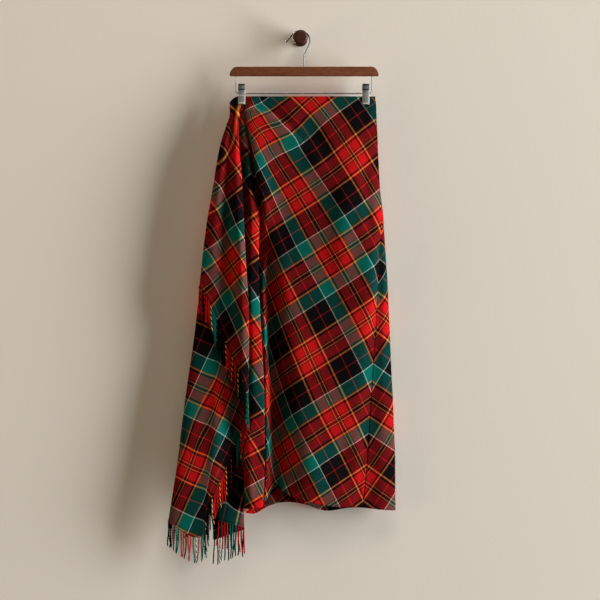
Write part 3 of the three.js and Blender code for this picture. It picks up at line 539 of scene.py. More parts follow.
def body_fit():
    """The grain from the right seam to the tuck, through the main pins."""
    places, values = [], []
    for x, z, first, second in MAIN_PINS:
        row, column = nearest(tube_front, x, z, (0, TUCK_FRONT))
        places.append(front_here[row, column] + [x, z] - tube_front[row, column, [0, 2]])
        values.append((first, second))
    return thin_plate(places, values, ease=4.0)


# On the narrow fold each pin stands for a second one to its right, so that the stripes keep their slant.
SECOND_PIN = 40.0
SLANT = np.array([0.88, 0.45])


def fold_fit():
    """The grain of the narrow fold, whose pins are placed from the line of its ridge."""
    places, values = [], []
    ridge_x, ridge_z = tube_front[:, FOLD_RIDGE, 0], front_heights[:, FOLD_RIDGE]
    for x, z, first, second in FOLD_PINS:
        aside = x - np.interp(-z, -ridge_z, ridge_x)
        for shift in (0.0, SECOND_PIN):
            places.append((aside + shift, z))
            values.append(np.array([first, second]) + SLANT * shift)
    return thin_plate(places, values, ease=5.0)


across_tuck = np.clip((np.arange(front_end + 1) - TUCK_FRONT) / (TUCK_BACK - TUCK_FRONT), 0, 1)[None, :, None]
fold_here = np.stack([-run_lengths(tube_front, FOLD_RIDGE), front_heights], axis=-1)
body_grain = body_fit()
front_uv = body_grain(front_here) * (1 - across_tuck) + fold_fit()(fold_here) * across_tuck

# %% Carry the grain on to the back
tube_back = np.concatenate([tube[:, front_end:], tube[:, :1]], axis=1)
back_along = front_along[:, :1] + run_lengths(tube_back, tube_back.shape[1] - 1)
back_uv = body_grain(np.stack([back_along, tube_back[..., 2]], axis=-1))
print("the front spans", np.ptp(front_uv, axis=(0, 1)).round(), "mm of the two thread families")

# %% [markdown]
# ## Cloth with a thickness
# A sheet of no thickness looks like paper at its hem. Each grid is copied half the thickness to both sides
# and the edge is closed with a rounded rim, so a hem or a selvedge catches a thin line of light.

# %% Build a piece of cloth
def border(rows, cols):
    """Grid places round the edge of a sheet, in order."""
    top = [(0, c) for c in range(cols)]
    right = [(r, cols - 1) for r in range(1, rows)]
    bottom = [(rows - 1, c) for c in range(cols - 2, -1, -1)]
    left = [(r, 0) for r in range(rows - 2, 0, -1)]
    return top + right + bottom + left


def cloth_arrays(grid, normals, counts, thickness=CLOTH, rim=0.5):
    """Vertices, faces and a UV for each vertex of a closed sheet of cloth."""
    rows, cols = grid.shape[:2]
    half = thickness / 2
    above = (grid + normals * half).reshape(-1, 3)
    below = (grid - normals * half).reshape(-1, 3)
    index = np.arange(rows * cols).reshape(rows, cols)
    a, b, c, d = index[:-1, :-1], index[:-1, 1:], index[1:, 1:], index[1:, :-1]
    up = np.stack([a, b, c, d], axis=-1).reshape(-1, 4)
    down = np.stack([a, d, c, b], axis=-1).reshape(-1, 4) + rows * cols
    outwards = np.zeros_like(grid)
    outwards[0] += unit(grid[0] - grid[1])
    outwards[-1] += unit(grid[-1] - grid[-2])
    outwards[:, 0] += unit(grid[:, 0] - grid[:, 1])
    outwards[:, -1] += unit(grid[:, -1] - grid[:, -2])
    r, c = np.array(border(rows, cols)).T
    rim_points = grid[r, c] + unit(outwards[r, c]) * half * rim
    rim_index = 2 * rows * cols + np.arange(len(r))
    following = np.roll(np.arange(len(r)), -1)
    top_index = index[r, c]
    low_index = top_index + rows * cols
    rim_faces = np.concatenate([
        np.stack([top_index[following], top_index, rim_index, rim_index[following]], axis=-1),
        np.stack([rim_index[following], rim_index, low_index, low_index[following]], axis=-1),
    ])
    flat = counts.reshape(-1, 2)
    uv = np.concatenate([flat, flat, counts[r, c]])
    points = np.concatenate([above, below, rim_points])
    return points, np.concatenate([up, down, rim_faces]).tolist(), uv


def narrowed(grid, by):
    """The same sheet with its two side edges moved in by `by` mm."""
    grid = grid.copy()
    grid[:, 0] += unit(grid[:, 1] - grid[:, 0]) * by
    grid[:, -1] += unit(grid[:, -2] - grid[:, -1]) * by
    return grid


def make_cloth(name, grid, normals, counts):
    return smooth_mesh(name, *cloth_arrays(grid, normals, counts))


SEAM_CLEARANCE = 0.45
front_normals = tube_normals[:, : front_end + 1]
back_normals = np.concatenate([tube_normals[:, front_end:], tube_normals[:, :1]], axis=1)
skirt_front = make_cloth("cloth_front", narrowed(tube_front, SEAM_CLEARANCE), front_normals, front_uv)
skirt_back = make_cloth("cloth_back", narrowed(tube_back, SEAM_CLEARANCE), back_normals, back_uv)
print("front and back faces:", len(skirt_front.data.polygons), len(skirt_back.data.polygons))

# %% [markdown]
# ## The two drapes
# The outer drape is one sheet that goes back and forth: a front layer, round a fold on the right, a middle
# layer, round a fold on the left and a hidden layer behind. The inner drape does the same once, behind it.
# Each fold line has its own top and bottom, so the slanting edges need no cutting.

# %% Fold lines of the outer drape
DRAPE_ROWS = [-139, -161, -184, -205, -252, -299, -358, -417, -499, -581, -616, -687, -851, -981, -1166]
OUTER_FOLDS = {
    "edge_turn": dict(
        x=[-165, -163, -163.6, -168.5, -182, -191, -200, -211, -222, -231, -235, -243, -255, -262, -267],
        y=[-44.2, -44.6, -45.9, -47, -50, -52, -55, -57, -59, -61, -61, -61, -61, -61, -61],
        top=-155,
        bottom=-576,
    ),
    "left_edge": dict(
        x=[-163, -165, -164.6, -171.5, -186, -195, -204, -215, -226, -235, -239, -247, -259, -266, -271],
        y=[-44.3, -46.6, -48.4, -50, -54, -57, -60, -62, -64, -66, -66, -66, -66, -66, -66],
        top=-152,
        bottom=-582,
    ),
    "left_rib": dict(
        x=[-157, -158, -159.5, -166, -177, -184, -192, -198, -205, -209, -211, -217, -224, -224, -224],
        y=[-44.4, -45.6, -49.5, -53, -60, -65, -69, -71, -72, -70, -70, -70, -70, -70, -70],
        top=-144,
        bottom=-617,
    ),
    "valley": dict(
        x=[-150, -151.5, -153, -157.5, -165, -169, -173, -175, -171, -169, -171, -175, -175, -175, -175],
        y=[-44.4, -45.4, -48.3, -51, -55.5, -59, -61, -62, -61, -61, -62, -64, -66, -66, -66],
        top=-140,
        bottom=-708,
    ),
    "right_rib": dict(
        x=[-142, -145, -147.1, -149, -150, -149, -147, -144, -139, -136, -135, -134, -133, -133, -135],
        y=[-44.4, -45.6, -49.7, -53.5, -61, -68, -74, -79, -85, -88, -88, -88, -86, -86, -86],
        top=-138,
        bottom=-800,
    ),
    "right_fold": dict(
        x=[-137.6, -140, -142.1, -144, -144, -140, -135.5, -132, -128, -123, -121, -120, -121, -122, -125],
        y=[-42.8, -43.6, -46.9, -50, -55, -59, -64, -68, -72, -76, -77, -77, -75, -74, -74],
        top=-138,
        bottom=-851,
    ),
    "under_right": dict(
        x=[-142, -144, -147.4, -150.5, -152, -151.5, -149.5, -147, -143, -140, -138, -136, -136, -143, -161],
        y=[-41.2, -41.9, -44, -46, -48.5, -50, -51.5, -52.5, -54, -55, -55, -56, -58, -60, -62],
        top=-139,
        bottom=-920,
    ),
    "under_rib_a": dict(
        x=[-146, -148, -152.2, -156, -159, -160.5, -161, -161.5, -161.5, -161, -160.5, -160, -168, -180, -197],
        y=[-41.2, -41.9, -44, -46, -49.2, -51.5, -53.5, -54.5, -56.5, -57.5, -58, -59, -62.5, -65.5, -68],
        top=-140,
        bottom=-1027,
    ),
    "under_rib_b": dict(
        x=[-150, -152, -156.2, -160, -164, -167, -169, -170, -171.5, -172.5, -173, -175.5, -188, -202, -221],
        y=[-41.2, -41.9, -44, -46, -49.2, -51.5, -53.5, -54.5, -56.5, -57.5, -58, -60, -64, -67.5, -70],
        top=-141,
        bottom=-1090,
    ),
    "under_left": dict(
        x=[-154, -155.5, -159.7, -163.5, -168, -172.5, -176, -179, -183, -186.5, -189, -195, -213, -228, -236],
        y=[-41.2, -41.9, -43.8, -45.6, -49, -51, -53, -54, -55.5, -56.5, -57, -59, -63, -67, -69],
        top=-144,
        bottom=-1166,
    ),
    "under_edge": dict(
        x=[-159, -160.5, -162.5, -166, -175.5, -182, -190, -199, -211, -221, -229, -239, -262, -278, -306],
        y=[-41, -42, -43.8, -45.5, -48, -49.5, -51.5, -52.5, -53.5, -54.5, -54.5, -55.5, -59, -62, -65],
        top=-147,
        bottom=-1133,
    ),
    "left_fold": dict(
        x=[-163.4, -164.4, -164.4, -169.4, -180, -187, -196, -206, -219, -230, -237, -246, -269, -285, -313],
        y=[-39.6, -40.2, -41.4, -42.5, -45, -46, -47, -48, -49, -50, -50, -50, -52, -54, -57],
        top=-152,
        bottom=-1127,
    ),
    "behind_left": dict(
        x=[-158, -159, -160, -163, -171, -177, -184, -192, -203, -213, -218, -226, -247, -262, -288],
        y=[-38, -38.4, -39.5, -40.6, -42, -42.6, -43, -43.4, -43.6, -44, -44, -44, -45, -46, -48],
        top=-147,
        bottom=-1112,
    ),
    "behind_end": dict(
        x=[-152, -153, -155.1, -157, -161, -165, -170, -176, -184, -192, -196, -203, -221, -234, -256],
        y=[-38, -38.4, -39.3, -40.2, -41.4, -42, -42.4, -42.6, -43, -43.2, -43.2, -43.4, -44, -44.6, -46],
        top=-142,
        bottom=-1096,
    ),
}

# %% Fold lines of the inner drape
INNER_ROWS = [-208, -299, -417, -581, -851, -981, -1094, -1180]
INNER_FOLDS = {
    "front_left": dict(
        x=[-167, -170, -174, -180, -187, -190, -192, -193],
        y=[-38.6, -38.8, -39.2, -39.8, -40.6, -41.4, -42.4, -44],
        top=-214,
        bottom=-1131,
    ),
    "front_middle": dict(
        x=[-160, -161, -162, -165, -166, -167, -166, -166],
        y=[-38.45, -38.9, -39.8, -40.6, -42, -43, -45, -47],
        top=-208,
        bottom=-1137,
    ),
    "right_fold": dict(
        x=[-152, -151.4, -150.4, -146, -138.8, -136.4, -133.6, -131],
        y=[-35.6, -36.4, -36.6, -36.8, -37.4, -38, -39, -40],
        top=-203,
        bottom=-1148,
    ),
    "back_middle": dict(
        x=[-160, -161, -163, -166, -167, -167, -167, -167],
        y=[-33.8, -33.6, -33, -32.4, -31.6, -31.2, -31, -31],
        top=-208,
        bottom=-1163,
    ),
    "back_left": dict(
        x=[-168, -174, -181, -190, -198, -201, -204, -205],
        y=[-33.8, -33.4, -33, -32.6, -32.4, -32.4, -32.6, -33],
        top=-214,
        bottom=-1177,
    ),
}
print("fold lines in the drapes:", len(OUTER_FOLDS) + len(INNER_FOLDS))

# %% Shape a hanging sheet
def sheet_grid(folds, rows, steps, heights):
    """A grid through fold lines that each have a top and a bottom of their own."""
    shares = np.linspace(0, 1, heights)
    columns = []
    for fold in folds.values():
        z = fold["top"] + shares * (fold["bottom"] - fold["top"])
        x, y = (table_value(rows, fold[axis], z) for axis in "xy")
        columns.append(np.stack([x, y, z], axis=-1))
    return across(np.stack(columns, axis=1), steps, closed=False)


def relieved(grid, size, height, seed, pinned=60):
    """The grid with small folds that fade out towards its top edge."""
    normals = sheet_normals(grid)
    drop = grid[:1, :, 2] - grid[..., 2]
    fade = np.clip(drop / pinned, 0, 1)
    broad = soft_noise(grid * [1, 1, 0.3], size, seed)
    fine = soft_noise(grid * [1, 1, 0.4], size * 0.45, seed + 7)
    return grid + normals * ((broad + 0.5 * fine) * fade * height)[..., None]


OUTER_STEPS = [4, 10, 10, 12, 12, 12, 8, 8, 10, 14, 12, 10, 8]
outer = sheet_grid(OUTER_FOLDS, DRAPE_ROWS, OUTER_STEPS, heights=260)
outer = relieved(outer, size=70, height=0.9, seed=11)
outer_at = dict(zip(OUTER_FOLDS, np.cumsum([0] + OUTER_STEPS)))
INNER_STEPS = [14, 12, 12, 14]
inner = sheet_grid(INNER_FOLDS, INNER_ROWS, INNER_STEPS, heights=160)
inner = relieved(inner, size=60, height=0.8, seed=21, pinned=200)
inner_at = dict(zip(INNER_FOLDS, np.cumsum([0] + INNER_STEPS)))
inner_normals = sheet_normals(inner)
print("outer drape grid:", outer.shape, "inner:", inner.shape)

# %% Creases of the outer drape
DRAPE_CREASES = [
    dict(path=[(-147, -158), (-149, -200), (-150, -240)], width=9, height=4),
    dict(path=[(-157, -880), (-166, -960), (-186, -1040)], width=20, height=-8),
    dict(path=[(-175, -546), (-172, -687), (-170, -816)], width=10, height=5),
    dict(path=[(-190, -820), (-196, -930), (-204, -1040)], width=14, height=5),
]
outer = creased(outer, DRAPE_CREASES, (0, outer_at["under_left"]))
outer_normals = sheet_normals(outer)
print("creases on the outer drape:", len(DRAPE_CREASES))

# %% Pins of the drapes
# Columns: the layer a pin is in, then the same four numbers as for the front panel.
FRONT_LAYER = (0, outer_at["right_fold"])
MIDDLE_LAYER = (outer_at["right_fold"], outer_at["left_fold"])
OUTER_PINS = [
    (FRONT_LAYER, -171.6, -635.4, -68.75, 68.75), (FRONT_LAYER, -152.8, -441.3, 68.75, -68.75),
    (FRONT_LAYER, -228.7, -540.3, -68.75, -42), (FRONT_LAYER, -122.9, -764.5, -68.75, 209),
    (FRONT_LAYER, -150.2, -611.7, -32, 68.75), (FRONT_LAYER, -130.7, -596.7, -6, 68.75),
    (FRONT_LAYER, -200.5, -338.4, 68.75, -182), (FRONT_LAYER, -170.8, -381.4, 68.75, -131),
    (FRONT_LAYER, -170.8, -275, 130.65, -202.2), (FRONT_LAYER, -154.9, -248, 166.35, -202.2),
    (FRONT_LAYER, -154.6, -159.3, 202, -202.2), (FRONT_LAYER, -158, -148, 216, -214),
    (MIDDLE_LAYER, -219.3, -752.5, 68.75, 264.1), (MIDDLE_LAYER, -175.8, -933.7, -68.75, 401.5),
    (MIDDLE_LAYER, -252.5, -1122.7, -68.75, 596.65), (MIDDLE_LAYER, -250.5, -734.8, 104.6, 264.1),
    (MIDDLE_LAYER, -249.1, -895, 35.6, 401.5), (MIDDLE_LAYER, -267.6, -953.8, 35.6, 463.45),
    (MIDDLE_LAYER, -255.9, -1007.5, 0, 499.05), (MIDDLE_LAYER, -217.2, -980.7, -35.6, 463.45),
    (MIDDLE_LAYER, -272.6, -1110, -35.6, 596.65),
    (MIDDLE_LAYER, -228.4, -1132, -86.6, 596.8), (MIDDLE_LAYER, -141.9, -851.4, -68.75, 312),
    (MIDDLE_LAYER, -204, -991.7, -68.75, 466), (MIDDLE_LAYER, -231, -1094, -68.75, 571),
]
INNER_FRONT = (0, inner_at["right_fold"])
INNER_PINS = [
    (INNER_FRONT, -174, -1088.6, -98.98, 596.65), (INNER_FRONT, -140, -1088.8, -130.75, 572),
    (INNER_FRONT, -187, -1096.6, -87, 596.65), (INNER_FRONT, -138, -1116, -139, 596.65),
    (INNER_FRONT, -144, -992.5, -98.98, 500), (INNER_FRONT, -153, -1052.6, -107, 560),
]


# %% Fit the grain of the drapes
def sheet_grain(grid, reference, pins, ease):
    """The grain of a sheet through its pins, with lengths counted from the column `reference`."""
    here = np.stack([run_lengths(grid, reference), grid[..., 2]], axis=-1)
    places, values = [], []
    for columns, x, z, first, second in pins:
        row, column = nearest(grid, x, z, columns)
        places.append(here[row, column])
        values.append((first, second))
    return thin_plate(places, values, ease)(here)


outer_uv = sheet_grain(outer, outer_at["right_fold"], OUTER_PINS, ease=20.0)
inner_uv = sheet_grain(inner, inner_at["right_fold"], INNER_PINS, ease=1.0)
drape_outer = make_cloth("cloth_drape_outer", outer, outer_normals, outer_uv)
drape_inner = make_cloth("cloth_drape_inner", inner, inner_normals, inner_uv)
print("drape faces:", len(drape_outer.data.polygons), len(drape_inner.data.polygons))

# %% [markdown]
# ## Fringe
# The fringe is the cloth's own threads, left unwoven past its last row and twisted together in two plies.
# Particles could make it, but every strand here has a place and a colour: that of the threads that run
# into it or, on two edges, one from a short list. Each strand is two thin tubes wound round each other.

# %% One twisted strand
STRAND = 62
PLY_RADIUS = 1.12
PLY_SIDES = 6
TWIST_TURNS = 5.0
ROOT_DEPTH = 1.5
STRAND_GRAIN = 60.0


def wobble(seed):
    """A repeatable number from 0 to 1."""
    value = math.sin(seed * 127.1 + 11.7) * 43758.5453
    return value - math.floor(value)


def strand_path(root, length, seed, out):
    """Points down the middle of a strand that hangs from `root` and sways a little."""
    t = np.linspace(0, 1, 15)
    lean = np.array([10.0 * (wobble(seed) - 0.5), 3.0 * (wobble(seed + 0.37) - 0.65), 0.0])
    curl = np.array([5.0 * (wobble(seed + 0.71) - 0.5), 1.6 * (wobble(seed + 0.53) - 0.5), 0.0])
    sway = np.sin(t * (3.5 + 3 * wobble(seed + 0.2)))
    path = root[None] + t[:, None] ** 1.6 * lean + sway[:, None] * curl * t[:, None]
    path[:, 2] -= t * length
    return path + out * (1.4 * np.minimum(t * 6, 1.0))[:, None]


def ply_arrays(path, phase, first_index, place):
    """Points, faces and UV of a tube wound round the path, with its tip drawn together."""
    t = np.linspace(0, 1, len(path))
    turn = phase + t * TWIST_TURNS * 2 * math.pi
    centre = path + np.stack([np.cos(turn), np.sin(turn), np.zeros_like(turn)], -1) * (PLY_RADIUS * 0.72)
    tip, root = np.where(t > 0.97, 0.7, 1.0), np.where(t < 0.02, 0.8, 1.0)
    girth = PLY_RADIUS * (1 + 0.12 * np.sin(t * 23 + phase)) * tip * root
    around = np.stack([*circle(PLY_SIDES), np.zeros(PLY_SIDES)], -1)
    points = (centre[:, None] + around[None] * girth[:, None, None]).reshape(-1, 3)
    faces = [[v + first_index for v in face] for face in ring_faces(len(path), PLY_SIDES)]
    uv = np.repeat(np.stack([np.full(len(path), place), t * STRAND_GRAIN], -1), PLY_SIDES, axis=0)
    return points, faces, uv


# %% Fringe along the lower edge of a sheet
STRAND_PITCH = 7.0
HEADING_ROWS = (0.2, 2.0, 4.0)
FIRST_STRAND = 2.0
PLY_SHADES_APART = 3.2


def edge_directions(grid, normals):
    """Unit directions in the sheet, square to its lower edge and away from it."""
    edge = np.gradient(grid[-1], axis=0)
    out = unit(np.cross(normals[-1], edge))
    return np.where(out[:, 2:] > 0, -out, out)


# Where each colour lies in the sett, in mm, and the strands of two fringes from their first corner on.
PLACE_IN_SETT = {"black": 84.0, "green": 53.0, "red": 19.0, "white": 68.0, "yellow": 35.5}
STRAND_COLOURS = {
    "yarn_lower": "red white green black red red black red red red green green green green black black black",
    "yarn_inner": "red yellow green red black black black white black",
}


def strand_colour(name, share, own):
    """The place in the sett that colours a strand: from the given list, or else the cloth's own thread."""
    listed = STRAND_COLOURS.get(name, "").split()
    return PLACE_IN_SETT[listed[round(share * (len(listed) - 1))]] if listed else own


def make_heading(name, edge, away, normal, value, growth):
    """The strip of cloth just off the edge that the strands come out of, and its lowest row."""
    strip = np.stack([edge + away * d for d in HEADING_ROWS])
    strip_counts = np.stack([value + growth * d for d in HEADING_ROWS])
    strip_normals = np.stack([normal] * len(HEADING_ROWS))
    arrays = cloth_arrays(narrowed(strip, 0.3), strip_normals, strip_counts, rim=0.2)
    return smooth_mesh(name, *arrays), strip[-1]


def make_fringe(name, sheet, first, last, family, seed, end_margin):
    """The strands and the heading along one stretch of a sheet's lower edge, coloured by one family."""
    grid, normals, counts = sheet
    here = slice(first, last + 1)
    away = edge_directions(grid, normals)[here]
    normal = normals[-1, here]
    value = counts[-1, here]
    step = np.linalg.norm(grid[-1] - grid[-2], axis=-1)[:, None]
    growth = ((counts[-1] - counts[-2]) / step)[here]
    heading, low = make_heading(name + "_heading", grid[-1, here], away, normal, value, growth)
    run = np.concatenate([[0], np.cumsum(np.linalg.norm(np.diff(low, axis=0), axis=-1))])

    def between(values, at):
        return np.array([np.interp(at, run, column) for column in values.T])

    usable = run[-1] - FIRST_STRAND - end_margin
    number = max(2, round(usable / STRAND_PITCH) + 1)
    points, faces, uv, total = [], [], [], 0
    for n in range(number):
        share = n / (number - 1)
        at = FIRST_STRAND + usable * share + (wobble(seed + n * 3.3) - 0.5) * 1.2
        out = unit(between(normal, at))
        if out[1] > 0:
            out = -out
        root = between(low, at) - between(away, at) * ROOT_DEPTH
        colour = strand_colour(name, share, np.interp(at, run, value[:, family]))
        path = strand_path(root, STRAND * (0.93 + 0.12 * wobble(seed + n)), seed + n, out * 0.25)
        for ply in range(2):
            place = colour + (ply - 0.5) * PLY_SHADES_APART
            arrays = ply_arrays(path, ply * math.pi + seed + n, total, place)
            points.append(arrays[0])
            faces += arrays[1]
            uv.append(arrays[2])
            total += len(arrays[0])
    print(name, "strands:", number)
    return smooth_mesh(name, np.concatenate(points), faces, np.concatenate(uv)), heading


ALONG, DOWN = 0, 1
outer_sheet, inner_sheet = (outer, outer_normals, outer_uv), (inner, inner_normals, inner_uv)
fold_at, corner_at, turn_at = (outer_at[name] for name in ("right_fold", "under_left", "left_fold"))
last_at, inner_last = outer.shape[1] - 1, inner.shape[1] - 1
fringes = {
    "fringe_upper": make_fringe("yarn_upper", outer_sheet, 0, fold_at, DOWN, seed=3, end_margin=7),
    "fringe_side": make_fringe("yarn_side", outer_sheet, fold_at, corner_at, DOWN, seed=131, end_margin=6),
    "fringe_lower": make_fringe("yarn_lower", outer_sheet, corner_at, turn_at, ALONG, seed=257, end_margin=3),
    "fringe_behind": make_fringe("yarn_behind", outer_sheet, turn_at, last_at, ALONG, seed=389, end_margin=3),
    "fringe_inner": make_fringe("yarn_inner", inner_sheet, 0, inner_last, ALONG, seed=521, end_margin=3),
}

# %% [markdown]
# ## Tools for turned and bent parts
# The hook, the wire and the peg are round bars and a turned knob. A curve with a bevel could make them,
# but a mesh tube from the same few points gives full control of the number of sides and of the ends.

# %% Round bars and turned parts
def smooth_line(points, steps):
    """Points on a smooth curve through a list of points in mm."""
    points = np.asarray(points, float)
    return across(points[None], [steps] * (len(points) - 1), closed=False)[0]


def round_bar(name, line, radius, sides=20):
    """A tube with domed ends along a line of points, mm."""
    line = np.asarray(line, float)
    heading = unit(np.gradient(line, axis=0))
    side = unit(np.cross(heading[0], [0.0, 1.0, 0.0]))
    cosines, sines = circle(sides)
    rings = []
    for at, along in zip(line, heading):
        side = unit(side - along * np.dot(side, along))
        other = np.cross(along, side)
        rings.append(at + radius * (cosines[:, None] * side + sines[:, None] * other))

    def dome(end, way):
        """Two ever smaller rings past one end of the bar."""
        for share in (0.5, 0.87):
            smaller = math.cos(share * 1.2)
            ahead = heading[end] * way * radius * 0.55 * share
            yield rings[end] * smaller + line[end] * (1 - smaller) + ahead

    start, stop = list(dome(0, -1)), list(dome(-1, 1))
    return ring_mesh(name, [*start[::-1], *rings, *stop])


def turned(name, profile, place, sides=64):
    """A turned part from (radius, height) pairs in mm, whose height runs along `place(height, u, v)`."""
    around = list(zip(*circle(sides)))
    rings = [[place(height, radius * u, radius * v) for u, v in around] for radius, height in profile]
    return ring_mesh(name, rings, sharp=50)


# %% [markdown]
# ## The wall peg
# The peg is a turned knob with a narrower neck. The hook sits in the neck, behind the head. A turned part is
# a profile carried round an axis, so only the profile is written down, with its rounded lip drawn finely.

# %% Turn the wall peg
HANGER_Y = -32.0
PEG_HEAD = 18.0
PEG_NECK = 14.3
lip = [(PEG_HEAD - 6 + 6 * math.cos(a), 44.8 + 6 * math.sin(a)) for a in np.linspace(-0.2, 1.45, 9)]
foot = [(0.4, 0), (16.2, 0), (16.9, 0.5), (17, 1.2), (17, 2.4), (16.3, 3.4), (14.9, 5)]
back_of_head = [(14.9, 35.4), (16.4, 36.2), (17.6, 37.4), (PEG_HEAD, 39.2)]
peg_profile = [*foot, (PEG_NECK, 7), (PEG_NECK, 34.4), *back_of_head, *lip, (8, 50.85), (0.4, 51)]
wall_peg = turned("turned_peg", peg_profile, lambda height, u, v: (u, -height, v))
print("peg profile points:", len(peg_profile))

# %% [markdown]
# ## Hook, bar and wire
# The hook is steel wire bent round the peg, with a small ball on its tip, and it goes into the bar. Another
# wire leaves the bar near its ends and runs below it. The two clips slide on that wire.

# %% Bend the hook and the wire
HOOK_RADIUS, HOOK_MIDDLE_Z, HOOK_WIRE = 22.8, -6.6, 1.6
TIP_X, TIP_Z, TIP_BALL = -32.9, -7.8, 2.5


def bent_wire(name, path, radius):
    """A round wire through places (x, z) in the hanger's upright plane."""
    return round_bar(name, smooth_line([(x, HANGER_Y, z) for x, z in path], 8), radius)


def hook_place(degrees):
    angle = math.radians(degrees)
    return HOOK_RADIUS * math.cos(angle), HOOK_MIDDLE_Z + HOOK_RADIUS * math.sin(angle)


hook_arc = [hook_place(degrees) for degrees in range(135, -31, -15)]
hook_stem = [(13.4, -31), (9.4, -39), (8.6, -46), (8.6, -78)]
hook_path = [(TIP_X, TIP_Z), (-27.6, -2.2), (-22, 3.6), *hook_arc, *hook_stem]
hanger_hook = bent_wire("hook_wire", hook_path, HOOK_WIRE)
ball = [(max(TIP_BALL * math.sin(a), 0.1), TIP_BALL * math.cos(a)) for a in np.linspace(0, math.pi, 17)]
hook_ball = turned("hook_tip", ball, lambda height, u, v: (TIP_X + u, HANGER_Y + v, TIP_Z + height), sides=32)
WIRE_LEFT, WIRE_RIGHT, WIRE_LOW, WIRE_RADIUS = -151.5, 167.5, -130.4, 1.25
corner = [(0, -120), (0.7, -125.5), (2.6, -129.2), (6, WIRE_LOW), (9, WIRE_LOW)]
wire_path = [
    (WIRE_LEFT, -82), (WIRE_LEFT, -96), *[(WIRE_LEFT + dx, z) for dx, z in corner],
    (-60, WIRE_LOW), (10, WIRE_LOW), (80, WIRE_LOW),
    *[(WIRE_RIGHT - dx, z) for dx, z in corner[::-1]], (WIRE_RIGHT, -96), (WIRE_RIGHT, -82),
]
hanger_wire = bent_wire("lower_wire", wire_path, WIRE_RADIUS)
print("wire from", WIRE_LEFT, "to", WIRE_RIGHT, "mm")

# %% Cut the wooden bar
BAR_HALF, BAR_HEIGHT, BAR_DEPTH, BAR_X, BAR_TOP = 175.0, 22.0, 13.0, 9.0, -68.0
BAR_EASE = 1.5
# How far the right end lies inside the bar's greatest reach, from the lower edge up.
END_INSETS = [(1.5, -22), (0.4, -20.6), (0, -18.5), (0.4, -16), (1.2, -13.5), (2.1, -11.4), (3.2, -9.5),
              (4.7, -7.1), (6.5, -5), (8.4, -3.2), (10.5, -1.9), (12.9, -0.7), (15.5, 0)]


def rounded_bar(name):
    """A flat bar whose upper corners are cut in a soft slope, with all its edges eased."""
    right_side = [(BAR_HALF - inset, z) for inset, z in END_INSETS]
    outline = np.array(right_side + [(-x, z) for x, z in right_side[::-1]])
    layers = []
    for angle in np.linspace(0, 1, 5) * math.pi / 2:
        depth = BAR_DEPTH / 2 - BAR_EASE + BAR_EASE * math.sin(angle)
        layers.append((depth, BAR_EASE * (1 - math.cos(angle))))
    middle = np.array([0.0, -BAR_HEIGHT / 2])
    half_size = np.abs(outline - middle).max(0)
    rings = []
    for y, inset in [(-y, inset) for y, inset in layers[::-1]] + layers:
        x, z = (middle + (outline - middle) * (1 - inset / half_size)).T
        rings.append(np.stack([BAR_X + x, np.full(len(x), HANGER_Y + y), BAR_TOP + z], -1))
    return ring_mesh(name, rings, sharp=35)


hanger_bar = rounded_bar("wooden_bar")
print("bar from", BAR_X - BAR_HALF, "to", BAR_X + BAR_HALF, "mm")

# %% [markdown]
# ## The clips
# A skirt clip is two sprung plates round the wire: ribbed handles above, jaws below with the cloth between
# them. Each plate is one side profile given a thickness, and its section bows across, so it shines in
# upright streaks as pressed steel does.

# %% Press the clip plates
CLIP_WIDTH, CLIP_PLATE = 15.5, 1.6
CLIP_TOP, CLIP_BOTTOM = -110.0, -156.5
HUB_RADIUS, HUB_HALF, HUB_GAP = 4.0, 5.0, 0.35
LEFT_CLIP_X, RIGHT_CLIP_X = -137.4, 154.0
LEFT_JAW_Y, RIGHT_JAW_Y, BACK_JAW_Y = -47.6, -37.4, -26.8
HALF_SHARES = np.array([0.25, 0.5, 0.7, 0.88, 0.97, 1])


def pressed_plate(name, middle_x, profile, bow):
    """A plate that follows a (y, z) side profile, bowed across by `bow` mm; minus is towards the front."""
    line = smooth_line([(0.0, y, z) for y, z in profile], 5)[:, 1:]
    tangent = unit(np.gradient(line, axis=0))
    outward = np.stack([tangent[:, 1], -tangent[:, 0]], -1)
    outward *= np.sign(bow) * np.where(outward[:, :1] > 0, 1, -1)
    shares = np.concatenate([-HALF_SHARES[::-1], [0], HALF_SHARES])
    lift = abs(bow) * (1 - shares**2) - 0.35 * np.clip(np.abs(shares) - 0.85, 0, 1) / 0.15
    grid = np.empty((len(line), len(shares), 3))
    grid[..., 0] = middle_x + shares * CLIP_WIDTH / 2
    grid[..., 1:] = line[:, None] + outward[:, None] * lift[None, :, None] * 0.7
    no_counts = np.zeros(grid.shape[:2] + (2,))
    points, faces, _ = cloth_arrays(grid, sheet_normals(grid), no_counts, thickness=CLIP_PLATE, rim=0.9)
    return smooth_mesh(name, points, faces, sharp=60)


